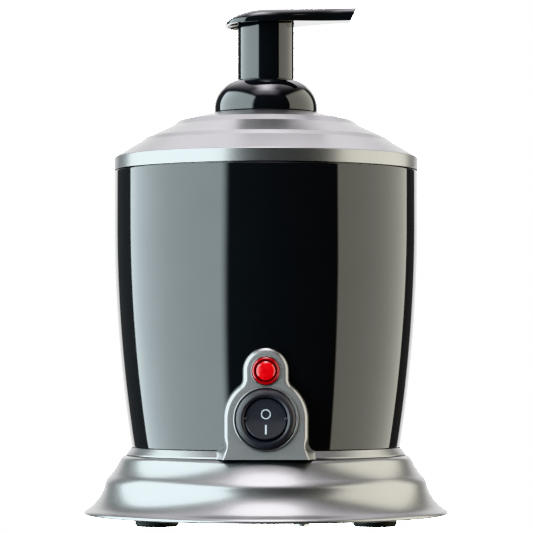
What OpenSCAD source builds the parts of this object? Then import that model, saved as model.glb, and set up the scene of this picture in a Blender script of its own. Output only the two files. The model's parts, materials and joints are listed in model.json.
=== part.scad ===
// Hot lather machine: a heated reservoir in a round stand, with a foam pump in its lid.
// Millimetres. +Z is up, the origin is on the machine's axis at the floor, and the switch
// faces -Y. The pump's spout points along +X.

/* [Stand] */
// Largest radius of the stand, at its lip
base_r = 68.0; // [64:0.5:74]
// How far the stand's upper bead lies inside its lip
bead_inset = 7.9; // [6:0.1:10]
// How far the stand's shoulder stands out past the shell's lower end
shoulder_w = 4.3; // [3.7:0.1:5.7]
// Height of the stand's top face above the floor
base_h = 24.4; // [23:0.2:28]
// Height of the upper bead above the floor
bead_z = 14.1; // [12:0.1:15]
// Gap between the lip and the floor
lip_gap = 1.4; // [0.8:0.1:1.8]
// Wall of the moulded stand
base_wall = 2.6; // [2.2:0.1:3]
// Thickness of the stand's top ledge
ledge_t = 2.4; // [2:0.1:4]
// How far the top ledge reaches in past the shell's lower end
ledge_reach = 10.8; // [10.3:0.1:16]
// Thickness of the plate that closes the stand below
plate_t = 2.0; // [1.5:0.1:3]
// Radius of the rubber feet
foot_r = 8.0; // [6:0.5:8.5]
// Distance of the feet's centres inside the stand's lip
foot_inset = 12.5; // [12.5:0.5:18]
// Height of a foot below the plate
foot_h = 2.1; // [1.9:0.1:3]

/* [Shell] */
// Outer radius of the shell where it is straight, under the lid
shell_r = 57.0; // [56:0.1:58]
// Outer radius of the shell at its lower end
shell_foot_r = 50.3; // [50:0.1:51.5]
// Height of the shell from the stand to the lid
shell_h = 106.0; // [104:0.5:116]
// Length of the shell's straight stretch below the lid
shell_straight_h = 18.4; // [12:0.2:24]
// Wall of the shell
shell_wall = 2.2; // [1.8:0.1:2.6]
// Height of the ring that trims the shell's lower end
ring_h = 3.0; // [2.5:0.1:4]
// Outward flare of the trim ring at its lower edge
ring_flare = 1.9; // [1.2:0.1:2]

/* [Control panel] */
// Height of the switch centre above the floor
switch_z = 38.9; // [38.5:0.1:40]
// Height of the lamp centre above the floor
lamp_z = 56.1; // [55.5:0.1:58]
// Half-width of the panel around the switch
panel_r = 15.3; // [14.6:0.1:16]
// Half-width of the panel around the lamp
panel_tab_r = 8.3; // [7.8:0.1:8.8]
// How far the panel's flat face stands out of the shell at the lamp's height
panel_proud = 1.915; // [1.7:0.005:2.9]
// Thickness of the panel's face
panel_t = 2.4; // [2:0.1:2.8]
// Outward flare of the panel's sides at its foot
panel_flare = 1.8; // [0:0.1:2.5]
// Width of the panel's bevelled edge
panel_bevel = 1.4; // [0.8:0.1:1.5]
// Radius of the switch's round bezel
bezel_r = 11.0; // [10.8:0.1:11.8]
// Radius of the switch's body behind the panel
switch_body_r = 9.9; // [9.6:0.1:10.1]
// Depth of the switch's body behind the panel's face
switch_depth = 20.0; // [18:0.5:21]
// Height of the bezel in front of the panel
bezel_h = 2.0; // [1.6:0.1:2.2]
// Radius of the ball that bounds the rocker, about its pivot
rocker_r = 7.5; // [7.2:0.05:7.6]
// Full swing of the rocker in degrees
rocker_swing = 18; // [14:1:20]
// Radius of the rocker's pivot pins
pivot_r = 1.0; // [0.8:0.05:1.1]
// Radius of the lamp's flange
lamp_flange_r = 4.85; // [4.6:0.05:5.2]
// Radius of the lamp's barrel
lamp_r = 3.95; // [3.7:0.05:4.1]
// Depth of the lamp's barrel behind the panel's face
lamp_depth = 15.0; // [13:0.5:15.5]

/* [Lid] */
// Height of the lid's upright band
band_h = 4.8; // [4:0.1:6]
// Radius where the lower slope ends
slope3_r = 47.2; // [46:0.1:49]
// Radius where the middle slope begins
slope2_r = 45.2; // [44.5:0.1:45.8]
// Radius where the middle slope ends
slope2_end_r = 35.4; // [35:0.1:38]
// Radius where the top slope begins
slope1_r = 32.4; // [30:0.1:34]
// Wall of the lid
lid_wall = 2.0; // [1.6:0.1:2.4]
// Depth of the lid's rim inside the shell
lid_rim_h = 3.2; // [2:0.1:3.6]
// Outer radius of the threaded neck at its root
neck_r = 15.4; // [15:0.1:15.6]
// Height of the neck above its seat
neck_h = 5.8; // [5.4:0.1:6]

/* [Pump] */
// Radius of the round collar
collar_r = 19.5; // [19:0.1:21]
// Radius of the collar's rounded shoulder
collar_round = 11.0; // [10.5:0.1:11]
// Outer radius of the pump head's stem
stem_r = 10.7; // [10.2:0.1:10.8]
// Wall of the stem
stem_wall = 1.5; // [1.2:0.1:2]
// Travel of the pump head
stroke = 14.0; // [10:0.5:15]
// Rise of one turn of the collar's thread
thread_pitch = 4.0; // [3.5:0.1:4.2]
// Inner radius of the air cylinder
air_r = 12.6; // [12.2:0.1:12.6]
// Wall of the pump's cylinders
cylinder_wall = 1.2; // [1:0.05:1.2]
// Length of the air cylinder below the neck
air_h = 38.0; // [37:0.5:44]
// Inner radius of the liquid cylinder
liquid_r = 5.0; // [4.6:0.1:5.2]
// Length of the liquid cylinder
liquid_h = 26.0; // [25:0.5:30]
// Radius of the pump rod
rod_r = 3.2; // [2.8:0.1:3.4]
// Radius of the channel through the rod
rod_bore_r = 1.8; // [1.2:0.1:2]
// Outer radius of the dip tube
dip_r = 2.5; // [2:0.1:2.8]
// Wall of the dip tube
dip_wall = 0.9; // [0.6:0.1:1]
// Wire radius of the return spring
spring_wire_r = 0.6; // [0.4:0.05:0.7]
// Turns of the return spring
spring_turns = 7; // [5:1:9]

/* [Spout] */
// Reach of the spout's tip from the axis
spout_reach = 31.7; // [28:0.1:42]
// Reach of the head's back from the axis
head_back = 15.5; // [15:0.1:18]
// Half-width of the head
head_half_w = 15.4; // [14:0.1:17]
// Half-width of the spout's tip
tip_half_w = 4.9; // [4.4:0.1:6]
// Height of the head's rim above the floor, at the back
head_z = 185.0; // [184:0.2:190]
// Rise of the rim from the back to the tip
rim_rise = 2.0; // [1:0.1:3]
// Height of the head's crown above its rim
head_h = 5.4; // [5:0.1:7]
// Wall of the head
head_wall = 1.3; // [1:0.1:1.6]
// Radius of the foam duct in the spout
duct_r = 1.7; // [1.2:0.1:1.8]

/* [Reservoir] */
// Inner radius of the heated cup
cup_r = 33.0; // [30:0.5:33]
// Wall of the cup
cup_wall = 1.2; // [1:0.1:1.5]
// Height of the cup's underside above the floor
cup_z = 52.0; // [51.8:0.1:54]
// Thickness of the heater band
heater_t = 2.3; // [1.5:0.1:2.4]
// Height of the heater band
heater_h = 32.0; // [24:1:40]
// Thickness of the tray that carries the cup
tray_t = 2.0; // [1.6:0.1:2.4]

/* [Fasteners] */
// Radius of the screws' shanks
screw_r = 1.4; // [1.2:0.05:1.5]
// Radius of the screws' heads
screw_head_r = 2.8; // [2.4:0.1:3]
// Height of the screws' heads
screw_head_h = 1.5; // [1.2:0.1:1.6]
// Radius of the screw bosses
boss_r = 3.6; // [3.4:0.1:4]

/* [Clearances] */
// Gap between pieces that sit on each other
seat_gap = 0.1; // [0.05:0.01:0.2]
// Gap between a piece and the larger hole that it passes through
hole_gap = 0.2; // [0.1:0.01:0.3]
// Gap between pieces that come apart or slide
free_gap = 0.3; // [0.2:0.01:0.4]
// Running clearance of a pin or piston in its bore
run_gap = 0.05; // [0.03:0.01:0.08]

/* [Hidden] */
$fn = 96;
fine = 64;
eps = 0.01;

// ---- Heights and radii that follow from the sizes above ----
bead_r = base_r - bead_inset;
shoulder_r = shell_foot_r + shoulder_w;
ledge_open_r = shell_foot_r - ledge_reach;
foot_at_r = base_r - foot_inset;
plate_z = foot_h + seat_gap;
plate_top = plate_z + plate_t;
ledge_under = base_h - ledge_t;
shell_z = base_h + seat_gap;
shell_top = shell_z + shell_h - seat_gap;
shell_bend_z = shell_top - shell_straight_h;
shell_drop_h = shell_bend_z - base_h - ring_h;
// The shell's side below the bend is one arc that leaves the straight part smoothly
shell_arc_r = (pow(shell_drop_h, 2) + pow(shell_r - shell_foot_r, 2)) / (2 * (shell_r - shell_foot_r));
shell_arc_a = asin(shell_drop_h / shell_arc_r);
// The panel's flat face keeps its distance from the shell behind the lamp
shell_at_lamp_r = shell_r - shell_arc_r * (1 - cos(asin((shell_bend_z - lamp_z) / shell_arc_r)));
panel_y = shell_at_lamp_r + panel_proud;
hoop_r = shell_foot_r - 2.1;
hoop_in_r = hoop_r - shell_wall;
hoop_h = 6.5;
panel_flat_z = base_h + seat_gap;
boss_at_r = hoop_in_r - boss_r + 1.0;
plate_boss_at_r = 49.0;
plate_boss_angles = [15, 105, 195, 285];
corner_angles = [45, 135, 225, 315];

lid_z = shell_top + free_gap;
lid_r = shell_r;
slope3_z = lid_z + 10.7;
slope2_z = lid_z + 12.2;
slope2_end_z = lid_z + 16.7;
slope1_z = lid_z + 18.9;
seat_z = lid_z + 21.9;
seat_r = collar_r + 0.7;
lid_rim_r = shell_r - shell_wall - hole_gap;
lid_rim_wall = 2.0;
lid_ring_r = cup_r + cup_wall + 1.0;
neck_bore_r = air_r + cylinder_wall + hole_gap;
neck_top = seat_z + neck_h;

tray_ledge_h = 2.0;
tray_ledge_w = 2.6;
cup_flange_t = 1.2;
cup_flange_r = cup_r + cup_wall + 4.8;
cup_flange_z = lid_z - lid_rim_h - free_gap - cup_flange_t;
tray_z = cup_flange_z - seat_gap - tray_t;
tray_ledge_z = tray_z - seat_gap - tray_ledge_h;
cup_floor = cup_z + cup_wall;
heater_z = cup_z + 4.0;
heater_in_r = cup_r + cup_wall + seat_gap;
heater_out_r = heater_in_r + heater_t;

gasket_t = 0.5;
pump_flange_t = 1.3;
pump_flange_z = neck_top + seat_gap + gasket_t + seat_gap;
pump_flange_top = pump_flange_z + pump_flange_t;
air_out_r = air_r + cylinder_wall;
air_floor = neck_top - air_h;
liquid_floor = air_floor - liquid_h;
collar_z = seat_z + free_gap;
collar_arc_z = collar_z + 1.3;
collar_arc_at_r = collar_r - collar_round;
collar_hole_r = stem_r + free_gap;
thread_out_r = neck_r + 0.8;
collar_thread_wall_r = neck_r + 1.6;
collar_thread_r = neck_r + 0.5;
thread_base = 0.75;
thread_crest = 0.35;
thread_z = seat_z + 1.1;

valve_seat_z = liquid_floor - 4.6;
ball_r = 1.8;
ball_lift = 1.0;
ball_pocket_r = ball_r + 0.6;
ball_z = liquid_floor - 2.35;
dip_socket_z = valve_seat_z - 1.0;
dip_socket_h = 8.0;

stem_foot_z = pump_flange_top + 1.0;
air_piston_z = stem_foot_z - free_gap - 6.5;
air_piston_h = 6.0;
liquid_piston_z = liquid_floor + stroke + 2.0;
liquid_piston_h = 7.5;
rod_top = head_z - 7.0;
cartridge_r = 5.0;
cartridge_z = rod_top + seat_gap;
cartridge_h = 6.0;
socket_r = cartridge_r + 1.6;
spring_z = air_floor + 1.2 + spring_wire_r;
spring_top = air_piston_z - seat_gap - spring_wire_r;
spring_at_r = liquid_r + 2.2;

// ---- Points along curves ----
function arc(cx, cy, r, a0, a1, n) =
  [for (i = [0:n]) let (a = a0 + (a1 - a0) * i / n) [cx + r * cos(a), cy + r * sin(a)]];
function bezier_at(p, t) =
  pow(1 - t, 3) * p[0] + 3 * pow(1 - t, 2) * t * p[1] + 3 * (1 - t) * t * t * p[2] + pow(t, 3) * p[3];
function bezier(p, n) = [for (i = [0:n]) bezier_at(p, i / n)];
function tail(list) = [for (i = [1:len(list) - 1]) list[i]];
function reversed(list) = [for (i = [len(list) - 1:-1:0]) list[i]];
function shifted(list, by) = [for (p = list) p + by];
function mix(a, b, t) = a + (b - a) * t;

// A solid skinned over rings of points that run counter-clockwise about its direction
module lofted(rings) {
  m = len(rings[0]);
  last = len(rings) - 1;
  polyhedron(
    points = [for (ring = rings) each ring],
    faces = concat(
      [[for (k = [0:m - 1]) k]],
      [[for (k = [0:m - 1]) last * m + m - 1 - k]],
      [for (i = [0:last - 1]) for (k = [0:m - 1]) let (l = (k + 1) % m)
        [i * m + k, (i + 1) * m + l, i * m + l]],
      [for (i = [0:last - 1]) for (k = [0:m - 1]) let (l = (k + 1) % m)
        [i * m + k, (i + 1) * m + k, (i + 1) * m + l]]),
    convexity = 6);
}

// A point at a distance from the axis and an angle around it
module around(r, angle, z = 0) { rotate([0, 0, angle]) translate([r, 0, z]) children(); }
// Turns a shape drawn upwards so that it points along -Y, from the panel's face
module facing(z, y = -panel_y) { translate([0, y, z]) rotate([90, 0, 0]) children(); }
module tube(r_out, r_in, h) {
  difference() {
    cylinder(r = r_out, h = h);
    translate([0, 0, -eps]) cylinder(r = r_in, h = h + 2 * eps);
  }
}
// A screw whose head rests at z = 0 and whose shank points up
module screw(length) {
  difference() {
    translate([0, 0, -screw_head_h]) cylinder(r = screw_head_r, h = screw_head_h, $fn = fine);
    translate([0, 0, -screw_head_h - eps]) cross_recess();
  }
  cylinder(r = screw_r, h = length, $fn = fine);
}
module cross_recess() {
  for (turn = [0, 90]) rotate([0, 0, turn]) translate([-1.5, -0.3, 0]) cube([3, 0.6, 0.8]);
}
module hex_nut(across, h, bore) {
  difference() {
    cylinder(r = across / 2 / cos(30), h = h, $fn = 6);
    translate([0, 0, -eps]) cylinder(r = bore, h = h + 2 * eps, $fn = fine);
  }
}

// ---- Stand ----
function skirt_curve() = concat(
  bezier([[base_shoulder_r(), base_h], [shoulder_r - 1.0, base_h - 0.1],
    [shoulder_r - 0.3, base_h - 0.9], [shoulder_r, base_h - 1.7]], 5),
  tail(bezier([[shoulder_r, base_h - 1.7], [shoulder_r + 0.8, base_h - 3.4],
    [bead_r - 3.7, bead_z + 5.1], [bead_r - 2.1, bead_z + 3.2]], 6)),
  tail(bezier([[bead_r - 2.1, bead_z + 3.2], [bead_r - 1.0, bead_z + 2.1],
    [bead_r - 0.2, bead_z + 1.1], [bead_r, bead_z]], 5)),
  tail(bezier([[bead_r, bead_z], [bead_r + 0.5, bead_z - 2.9],
    [base_r - 5.6, lip_gap + 6.6], [base_r - 2.6, lip_gap + 3.95]], 7)),
  tail(bezier([[base_r - 2.6, lip_gap + 3.95], [base_r - 1.1, lip_gap + 2.8],
    [base_r, lip_gap + 2.0], [base_r, lip_gap + 0.6]], 6)),
  [[base_r - 0.2, lip_gap + 0.2], [base_r - 0.8, lip_gap]]
);
function base_shoulder_r() = shell_foot_r + 2.3;
gland_z = 12.0;
gland_pad_y = bead_r + 2.4;
gland_pad_r = 8.5;
gland_body_r = 5.0;
gland_flange_r = 7.0;
gland_flange_t = 2.5;
gland_bore_r = 3.5;
gland_in = 8.0;

module base_skirt() {
  outer = skirt_curve();
  inner = [for (p = reversed(outer)) if (p[1] < ledge_under - 0.4) [p[0] - base_wall, p[1]]];
  ledge_meet_r = inner[len(inner) - 1][0];
  color("silver") difference() {
    union() {
      rotate_extrude() polygon(concat(
        [[ledge_open_r, base_h]], outer, inner,
        [[ledge_meet_r, ledge_under], [ledge_open_r, ledge_under]]));
      for (a = plate_boss_angles)
        around(plate_boss_at_r, a, plate_top + seat_gap)
          cylinder(r = boss_r, h = ledge_under - plate_top - seat_gap + 1, $fn = fine);
      // Flat pad on the skirt's back that the cord gland sits in
      intersection() {
        translate([0, gland_pad_y, gland_z]) rotate([90, 0, 0]) cylinder(r = gland_pad_r, h = 9);
        translate([-base_r, 0, plate_top + seat_gap]) cube([2 * base_r, 2 * base_r, ledge_under]);
      }
    }
    for (a = plate_boss_angles)
      around(plate_boss_at_r, a, plate_z) cylinder(r = screw_r + seat_gap, h = 14, $fn = fine);
    for (a = corner_angles)
      around(boss_at_r, a, ledge_under - 1)
        cylinder(r = screw_r + hole_gap, h = ledge_t + 2, $fn = fine);
    // Spot face and hole for the gland
    translate([0, gland_pad_y + 20, gland_z]) rotate([90, 0, 0])
      cylinder(r = gland_flange_r + hole_gap, h = 20);
    translate([0, gland_pad_y + 1, gland_z]) rotate([90, 0, 0])
      cylinder(r = gland_body_r + seat_gap, h = 20);
  }
}

module bottom_plate() {
  color([0.12, 0.12, 0.13]) difference() {
    translate([0, 0, plate_z]) cylinder(r = base_r - base_wall - 1.4, h = plate_t);
    for (a = plate_boss_angles)
      around(plate_boss_at_r, a, plate_z - 1) cylinder(r = screw_r + hole_gap, h = plate_t + 2, $fn = fine);
    for (a = corner_angles)
      around(foot_at_r, a, plate_z - 1) cylinder(r = foot_plug_r + seat_gap, h = plate_t + 2, $fn = fine);
    for (x = [-clamp_half_w, clamp_half_w])
      translate([x, clamp_y, plate_z - 1]) cylinder(r = screw_r + hole_gap, h = plate_t + 2, $fn = fine);
  }
}

foot_plug_r = 2.9;
module rubber_feet() {
  color([0.05, 0.05, 0.05])
    for (a = corner_angles) around(foot_at_r, a)
      rotate_extrude() polygon([
        [0, 0], [foot_r - 0.8, 0], [foot_r, 0.8], [foot_r, foot_h], [foot_plug_r, foot_h],
        [foot_plug_r, plate_top + 0.6], [foot_plug_r - 0.6, plate_top + 1.2], [0, plate_top + 1.2]
      ]);
}

module plate_screws() {
  color("silver") for (a = plate_boss_angles)
    around(plate_boss_at_r, a, plate_z - seat_gap) screw(12);
}

module shell_screws() {
  color("silver") for (a = corner_angles)
    around(boss_at_r, a, ledge_under - seat_gap) screw(13);
}

module cord_gland() {
  color([0.06, 0.06, 0.06]) translate([0, gland_pad_y, gland_z]) rotate([-90, 0, 0])
    difference() {
      rotate_extrude() polygon([
        [0, -gland_in - seat_gap], [gland_body_r, -gland_in - seat_gap], [gland_body_r, seat_gap],
        [gland_flange_r, seat_gap], [gland_flange_r, gland_flange_t - 0.6],
        [gland_flange_r - 0.6, gland_flange_t], [0, gland_flange_t]
      ]);
      translate([0, 0, -gland_in - 1]) cylinder(r = gland_bore_r, h = gland_in + gland_flange_t + 2);
    }
}

clamp_y = 38.0;
clamp_half_w = 8.5;
clamp_bore_r = 3.5;
clamp_t = 1.6;
module cord_clamp() {
  saddle_z = plate_top + seat_gap;
  color([0.9, 0.9, 0.86]) difference() {
    union() {
      translate([-clamp_half_w - 3, clamp_y - 4, saddle_z]) cube([2 * clamp_half_w + 6, 8, clamp_t]);
      translate([0, clamp_y + 4, saddle_z + clamp_bore_r]) rotate([90, 0, 0])
        cylinder(r = clamp_bore_r + clamp_t, h = 8);
    }
    translate([0, clamp_y + 5, saddle_z + clamp_bore_r]) rotate([90, 0, 0])
      cylinder(r = clamp_bore_r, h = 10);
    translate([-clamp_half_w - 4, clamp_y - 5, saddle_z - 5]) cube([2 * clamp_half_w + 8, 10, 5]);
    translate([-clamp_bore_r, clamp_y - 5, saddle_z - 1]) cube([2 * clamp_bore_r, 10, clamp_bore_r + 1]);
    for (x = [-clamp_half_w, clamp_half_w])
      translate([x, clamp_y, saddle_z - 1]) cylinder(r = screw_r + hole_gap, h = 5, $fn = fine);
  }
}

module clamp_screws() {
  color("silver") for (x = [-clamp_half_w, clamp_half_w])
    translate([x, clamp_y, plate_top + clamp_t + 2 * seat_gap]) mirror([0, 0, 1]) screw(clamp_t + plate_t);
}

block_at = [-24, 6];
block_size = [12, 26, 9];
block_pitch = 8.0;
module terminal_block() {
  color([0.92, 0.92, 0.88]) difference() {
    translate([block_at[0] - block_size[0] / 2, block_at[1] - block_size[1] / 2, plate_top + seat_gap])
      cube(block_size);
    for (i = [-1:1]) translate([block_at[0], block_at[1] + i * block_pitch, plate_top]) {
      translate([0, 0, 4]) cylinder(r = 2.1, h = block_size[2], $fn = fine);
      translate([-10, 0, 4.2]) rotate([0, 90, 0]) cylinder(r = 1.3, h = 20, $fn = fine);
    }
  }
}

module terminal_screws() {
  color("gold") for (i = [-1:1])
    translate([block_at[0], block_at[1] + i * block_pitch, plate_top + 5.8]) difference() {
      cylinder(r = 2.0, h = 2.4, $fn = fine);
      translate([-2.5, -0.3, 1.6]) cube([5, 0.6, 1]);
    }
}

// ---- Shell and control panel ----
// Outer radius of the shell's curved side at a height
function shell_side(n) = [for (i = [0:n]) let (a = shell_arc_a * i / n)
  [shell_r - shell_arc_r * (1 - cos(a)), shell_bend_z - shell_arc_r * sin(a)]];

panel_flare_h = 5.5;
// Half-outline of the panel, from the switch's height up to its top, inset by a distance
function panel_half(inset) = let (
  big = panel_r - inset,
  small = panel_tab_r - inset,
  neck = 3.0 + inset,
  neck_z = switch_z + sqrt(pow(big + neck, 2) - pow(small + neck, 2)),
  neck_a = atan2(neck_z - switch_z, small + neck)
) concat(
  [[big, switch_z]],
  tail(arc(0, switch_z, big, 0, neck_a, 9)),
  tail(arc(small + neck, neck_z, neck, 180 + neck_a, 180, 5)),
  lamp_z > neck_z ? arc(0, lamp_z, small, 0, 90, 9) : tail(arc(0, neck_z, small, 0, 90, 9))
);
// The panel's sides flare outwards where they meet the ring
function panel_foot(inset, foot_z) = [for (t = [0:0.25:1])
  [panel_r - inset + panel_flare * pow(1 - t, 2), foot_z + panel_flare_h * t]];
function panel_outline(inset, foot_z) = let (
  half = concat(panel_foot(inset, foot_z), panel_half(inset)))
  concat(half, [for (i = [len(half) - 2:-1:0]) [-half[i][0], half[i][1]]]);

// The panel's outer form: a stack of outlines whose last ones are inset to round its edge
module panel_form(foot_z) {
  layers = [[0, panel_y - 18], [0, panel_y - 1.3], [0.22, panel_y - 0.62],
    [0.66, panel_y - 0.2], [panel_bevel, panel_y]];
  lofted([for (l = layers) [for (p = panel_outline(l[0], foot_z)) [p[0], -l[1], p[1]]]]);
}
module panel_prism(inset, foot_z, y_from, y_to) {
  translate([0, -y_to, 0]) rotate([90, 0, 0]) linear_extrude(y_from - y_to)
    polygon(panel_outline(inset, foot_z));
}

panel_wall = 1.8;
// The space that the shell fills behind the ring and the panel
module shell_space() {
  side = shell_side(14);
  rotate_extrude() polygon(concat(
    [[0, shell_top], [shell_r + seat_gap, shell_top]],
    [for (p = side) if (p[1] > panel_flat_z + ring_h + 0.3) [p[0] + seat_gap, p[1]]],
    [[shell_foot_r + seat_gap, panel_flat_z + ring_h], [hoop_r + hole_gap, panel_flat_z + ring_h],
      [hoop_r + hole_gap, base_h - 1], [0, base_h - 1]]));
}

module control_ring() {
  ring_top = panel_flat_z + ring_h - seat_gap;
  color("silver") difference() {
    union() {
      rotate_extrude() polygon([
        [hoop_r - 1, panel_flat_z], [shell_foot_r + ring_flare, panel_flat_z],
        [shell_foot_r + ring_flare, panel_flat_z + 0.5], [shell_foot_r + 0.15, ring_top - 0.5],
        [shell_foot_r - 0.1, ring_top], [hoop_r - 1, ring_top]
      ]);
      panel_form(panel_flat_z);
    }
    shell_space();
    panel_prism(panel_wall, panel_flat_z + panel_wall, panel_y - panel_t, panel_y - 25);
    facing(switch_z, -panel_y + 10) cylinder(r = switch_body_r + hole_gap, h = 20);
    facing(lamp_z, -panel_y + 10) cylinder(r = lamp_r + seat_gap, h = 20);
  }
}

shell_window_inset = 3.0;
module main_shell() {
  side = shell_side(14);
  in_r = shell_r - shell_wall;
  rabbet_z = panel_flat_z + ring_h;
  color([0.04, 0.04, 0.045]) difference() {
    union() {
      rotate_extrude() polygon(concat(
        [[in_r, shell_top], [shell_r, shell_top]],
        [for (p = side) if (p[1] > rabbet_z + 0.2) p],
        [[shell_foot_r, rabbet_z], [hoop_r, rabbet_z], [hoop_r, shell_z], [hoop_in_r, shell_z],
          [hoop_in_r, shell_z + hoop_h]],
        [for (p = reversed(side)) if (p[1] > shell_z + hoop_h + shell_wall) [p[0] - shell_wall, p[1]]]));
      // Ledge that the tray rests on
      rotate_extrude() polygon([
        [in_r + 0.5, tray_ledge_z - tray_ledge_w], [in_r + 0.5, tray_ledge_z + tray_ledge_h],
        [in_r - tray_ledge_w, tray_ledge_z + tray_ledge_h], [in_r - tray_ledge_w, tray_ledge_z]
      ]);
      for (a = corner_angles) around(boss_at_r, a, shell_z)
        cylinder(r = boss_r, h = 15, $fn = fine);
    }
    for (a = corner_angles) around(boss_at_r, a, shell_z - 1)
      cylinder(r = screw_r + seat_gap, h = 14, $fn = fine);
    panel_prism(shell_window_inset, switch_z - switch_body_r - 0.8, panel_y + 4, panel_y - 20);
  }
}

module top_tray() {
  color([0.1, 0.1, 0.11]) translate([0, 0, tray_z])
    tube(shell_r - shell_wall - hole_gap, cup_r + cup_wall + free_gap, tray_t);
}

stud_r = 1.5;
fuse_at_y = 22.0;
fuse_stud_y = 29.0;
earth_stud_at = [-22, 0];
thermostat_ear_x = 12.0;
cup_boss_h = 2.9;
module reservoir() {
  color([0.8, 0.8, 0.82]) difference() {
    union() {
      rotate_extrude() polygon([
        [0, cup_z], [cup_r - 2, cup_z], [cup_r + cup_wall - 1, cup_z + 0.8], [cup_r + cup_wall, cup_z + 3],
        [cup_r + cup_wall, cup_flange_z], [cup_flange_r, cup_flange_z],
        [cup_flange_r, cup_flange_z + cup_flange_t], [cup_r, cup_flange_z + cup_flange_t],
        [cup_r, cup_floor + 2], [cup_r - 2, cup_floor], [0, cup_floor]
      ]);
      for (x = [-thermostat_ear_x, thermostat_ear_x])
        translate([x, 0, cup_z - cup_boss_h]) cylinder(r = 3, h = cup_boss_h + 0.5, $fn = fine);
      translate([0, fuse_stud_y, cup_z - 4.5]) cylinder(r = stud_r, h = 5, $fn = fine);
      translate([earth_stud_at[0], earth_stud_at[1], cup_z - 5.5]) cylinder(r = stud_r, h = 6, $fn = fine);
    }
    for (x = [-thermostat_ear_x, thermostat_ear_x])
      translate([x, 0, cup_z - cup_boss_h - 1]) cylinder(r = screw_r + seat_gap, h = cup_boss_h + 0.8, $fn = fine);
  }
}

heater_pad_w = 5.0;
module heater_band() {
  color([0.55, 0.25, 0.1]) translate([0, 0, heater_z]) {
    tube(heater_out_r, heater_in_r, heater_h);
    // Raised pads that the two leads enter
    for (x = [-heater_pad_w, heater_pad_w])
      translate([x - 1.5, heater_out_r - 1.2, 2]) cube([3, 2.6, 5]);
  }
}

strap_t = 0.6;
strap_h = 6.0;
strap_z = heater_z + heater_h / 2 - strap_h / 2;
ear_gap = 1.0;
ear_reach = 7.0;
module heater_clamp() {
  in_r = heater_out_r + seat_gap;
  color([0.75, 0.75, 0.76]) translate([0, 0, strap_z]) difference() {
    union() {
      tube(in_r + strap_t, in_r, strap_h);
      translate([-ear_gap - strap_t, in_r + 0.1, 0]) cube([2 * (ear_gap + strap_t), ear_reach, strap_h]);
    }
    translate([-ear_gap, in_r - 1, -1]) cube([2 * ear_gap, ear_reach + 2, strap_h + 2]);
    translate([-5, in_r + ear_reach / 2 + 1, strap_h / 2]) rotate([0, 90, 0])
      cylinder(r = screw_r + seat_gap, h = 10, $fn = fine);
  }
}

module heater_clamp_bolt() {
  length = 2 * (ear_gap + strap_t) + 5;
  color("silver") translate([-ear_gap - strap_t - seat_gap, heater_out_r + ear_reach / 2 + 1 + seat_gap,
    strap_z + strap_h / 2]) rotate([0, 90, 0]) screw(length);
}

thermostat_r = 8.0;
module thermostat() {
  ear_z = cup_z - cup_boss_h - seat_gap - 1.0;
  color([0.15, 0.13, 0.12]) difference() {
    union() {
      translate([0, 0, cup_z - 9]) cylinder(r = thermostat_r, h = 9 - hole_gap);
      translate([-thermostat_ear_x - 3, -3.5, ear_z]) cube([2 * thermostat_ear_x + 6, 7, 1]);
      for (y = [-4.5, 4.5]) translate([-2.4, y - 0.4, cup_z - 15]) cube([4.8, 0.8, 7]);
    }
    for (x = [-thermostat_ear_x, thermostat_ear_x])
      translate([x, 0, ear_z - 1]) cylinder(r = screw_r + hole_gap, h = 3, $fn = fine);
  }
}

module thermostat_screws() {
  ear_z = cup_z - cup_boss_h - seat_gap - 1.0;
  color("silver") for (x = [-thermostat_ear_x, thermostat_ear_x])
    translate([x, 0, ear_z - seat_gap]) screw(3.5);
}

fuse_r = 2.0;
fuse_half_l = 6.0;
fuse_z = cup_z - hole_gap - fuse_r;
module thermal_fuse() {
  color([0.85, 0.8, 0.6]) translate([0, fuse_at_y, fuse_z]) rotate([0, 90, 0]) {
    translate([0, 0, -fuse_half_l]) cylinder(r = fuse_r, h = 2 * fuse_half_l, $fn = fine);
    translate([0, 0, -fuse_half_l - 4]) cylinder(r = 0.5, h = 2 * fuse_half_l + 8, $fn = fine);
  }
}

clip_t = 0.6;
module fuse_clip() {
  in_r = fuse_r + seat_gap;
  color([0.75, 0.75, 0.76]) difference() {
    union() {
      translate([-2.5, fuse_at_y, fuse_z]) rotate([0, 90, 0]) cylinder(r = in_r + clip_t, h = 5);
      translate([-2.5, fuse_at_y - in_r - clip_t, fuse_z]) cube([5, 2 * (in_r + clip_t), fuse_r]);
      translate([-2.5, fuse_at_y, cup_z - seat_gap - clip_t]) cube([5, fuse_stud_y - fuse_at_y + 3.5, clip_t]);
    }
    translate([-3.5, fuse_at_y, fuse_z]) rotate([0, 90, 0]) cylinder(r = in_r, h = 7);
    translate([-3.5, fuse_at_y - in_r, fuse_z]) cube([7, 2 * in_r, fuse_r + 1]);
    translate([-3, fuse_at_y - 5, cup_z - seat_gap]) cube([6, 16, 3]);
    translate([0, fuse_stud_y, cup_z - 3]) cylinder(r = stud_r + seat_gap, h = 4, $fn = fine);
  }
}

module stud_nuts() {
  color("silver") {
    translate([0, fuse_stud_y, cup_z - 2 * seat_gap - clip_t - 2.4]) hex_nut(5.5, 2.4, stud_r + seat_gap);
    translate([earth_stud_at[0], earth_stud_at[1], cup_z - 4.6]) hex_nut(5.5, 2.4, stud_r + seat_gap);
  }
}

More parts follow.
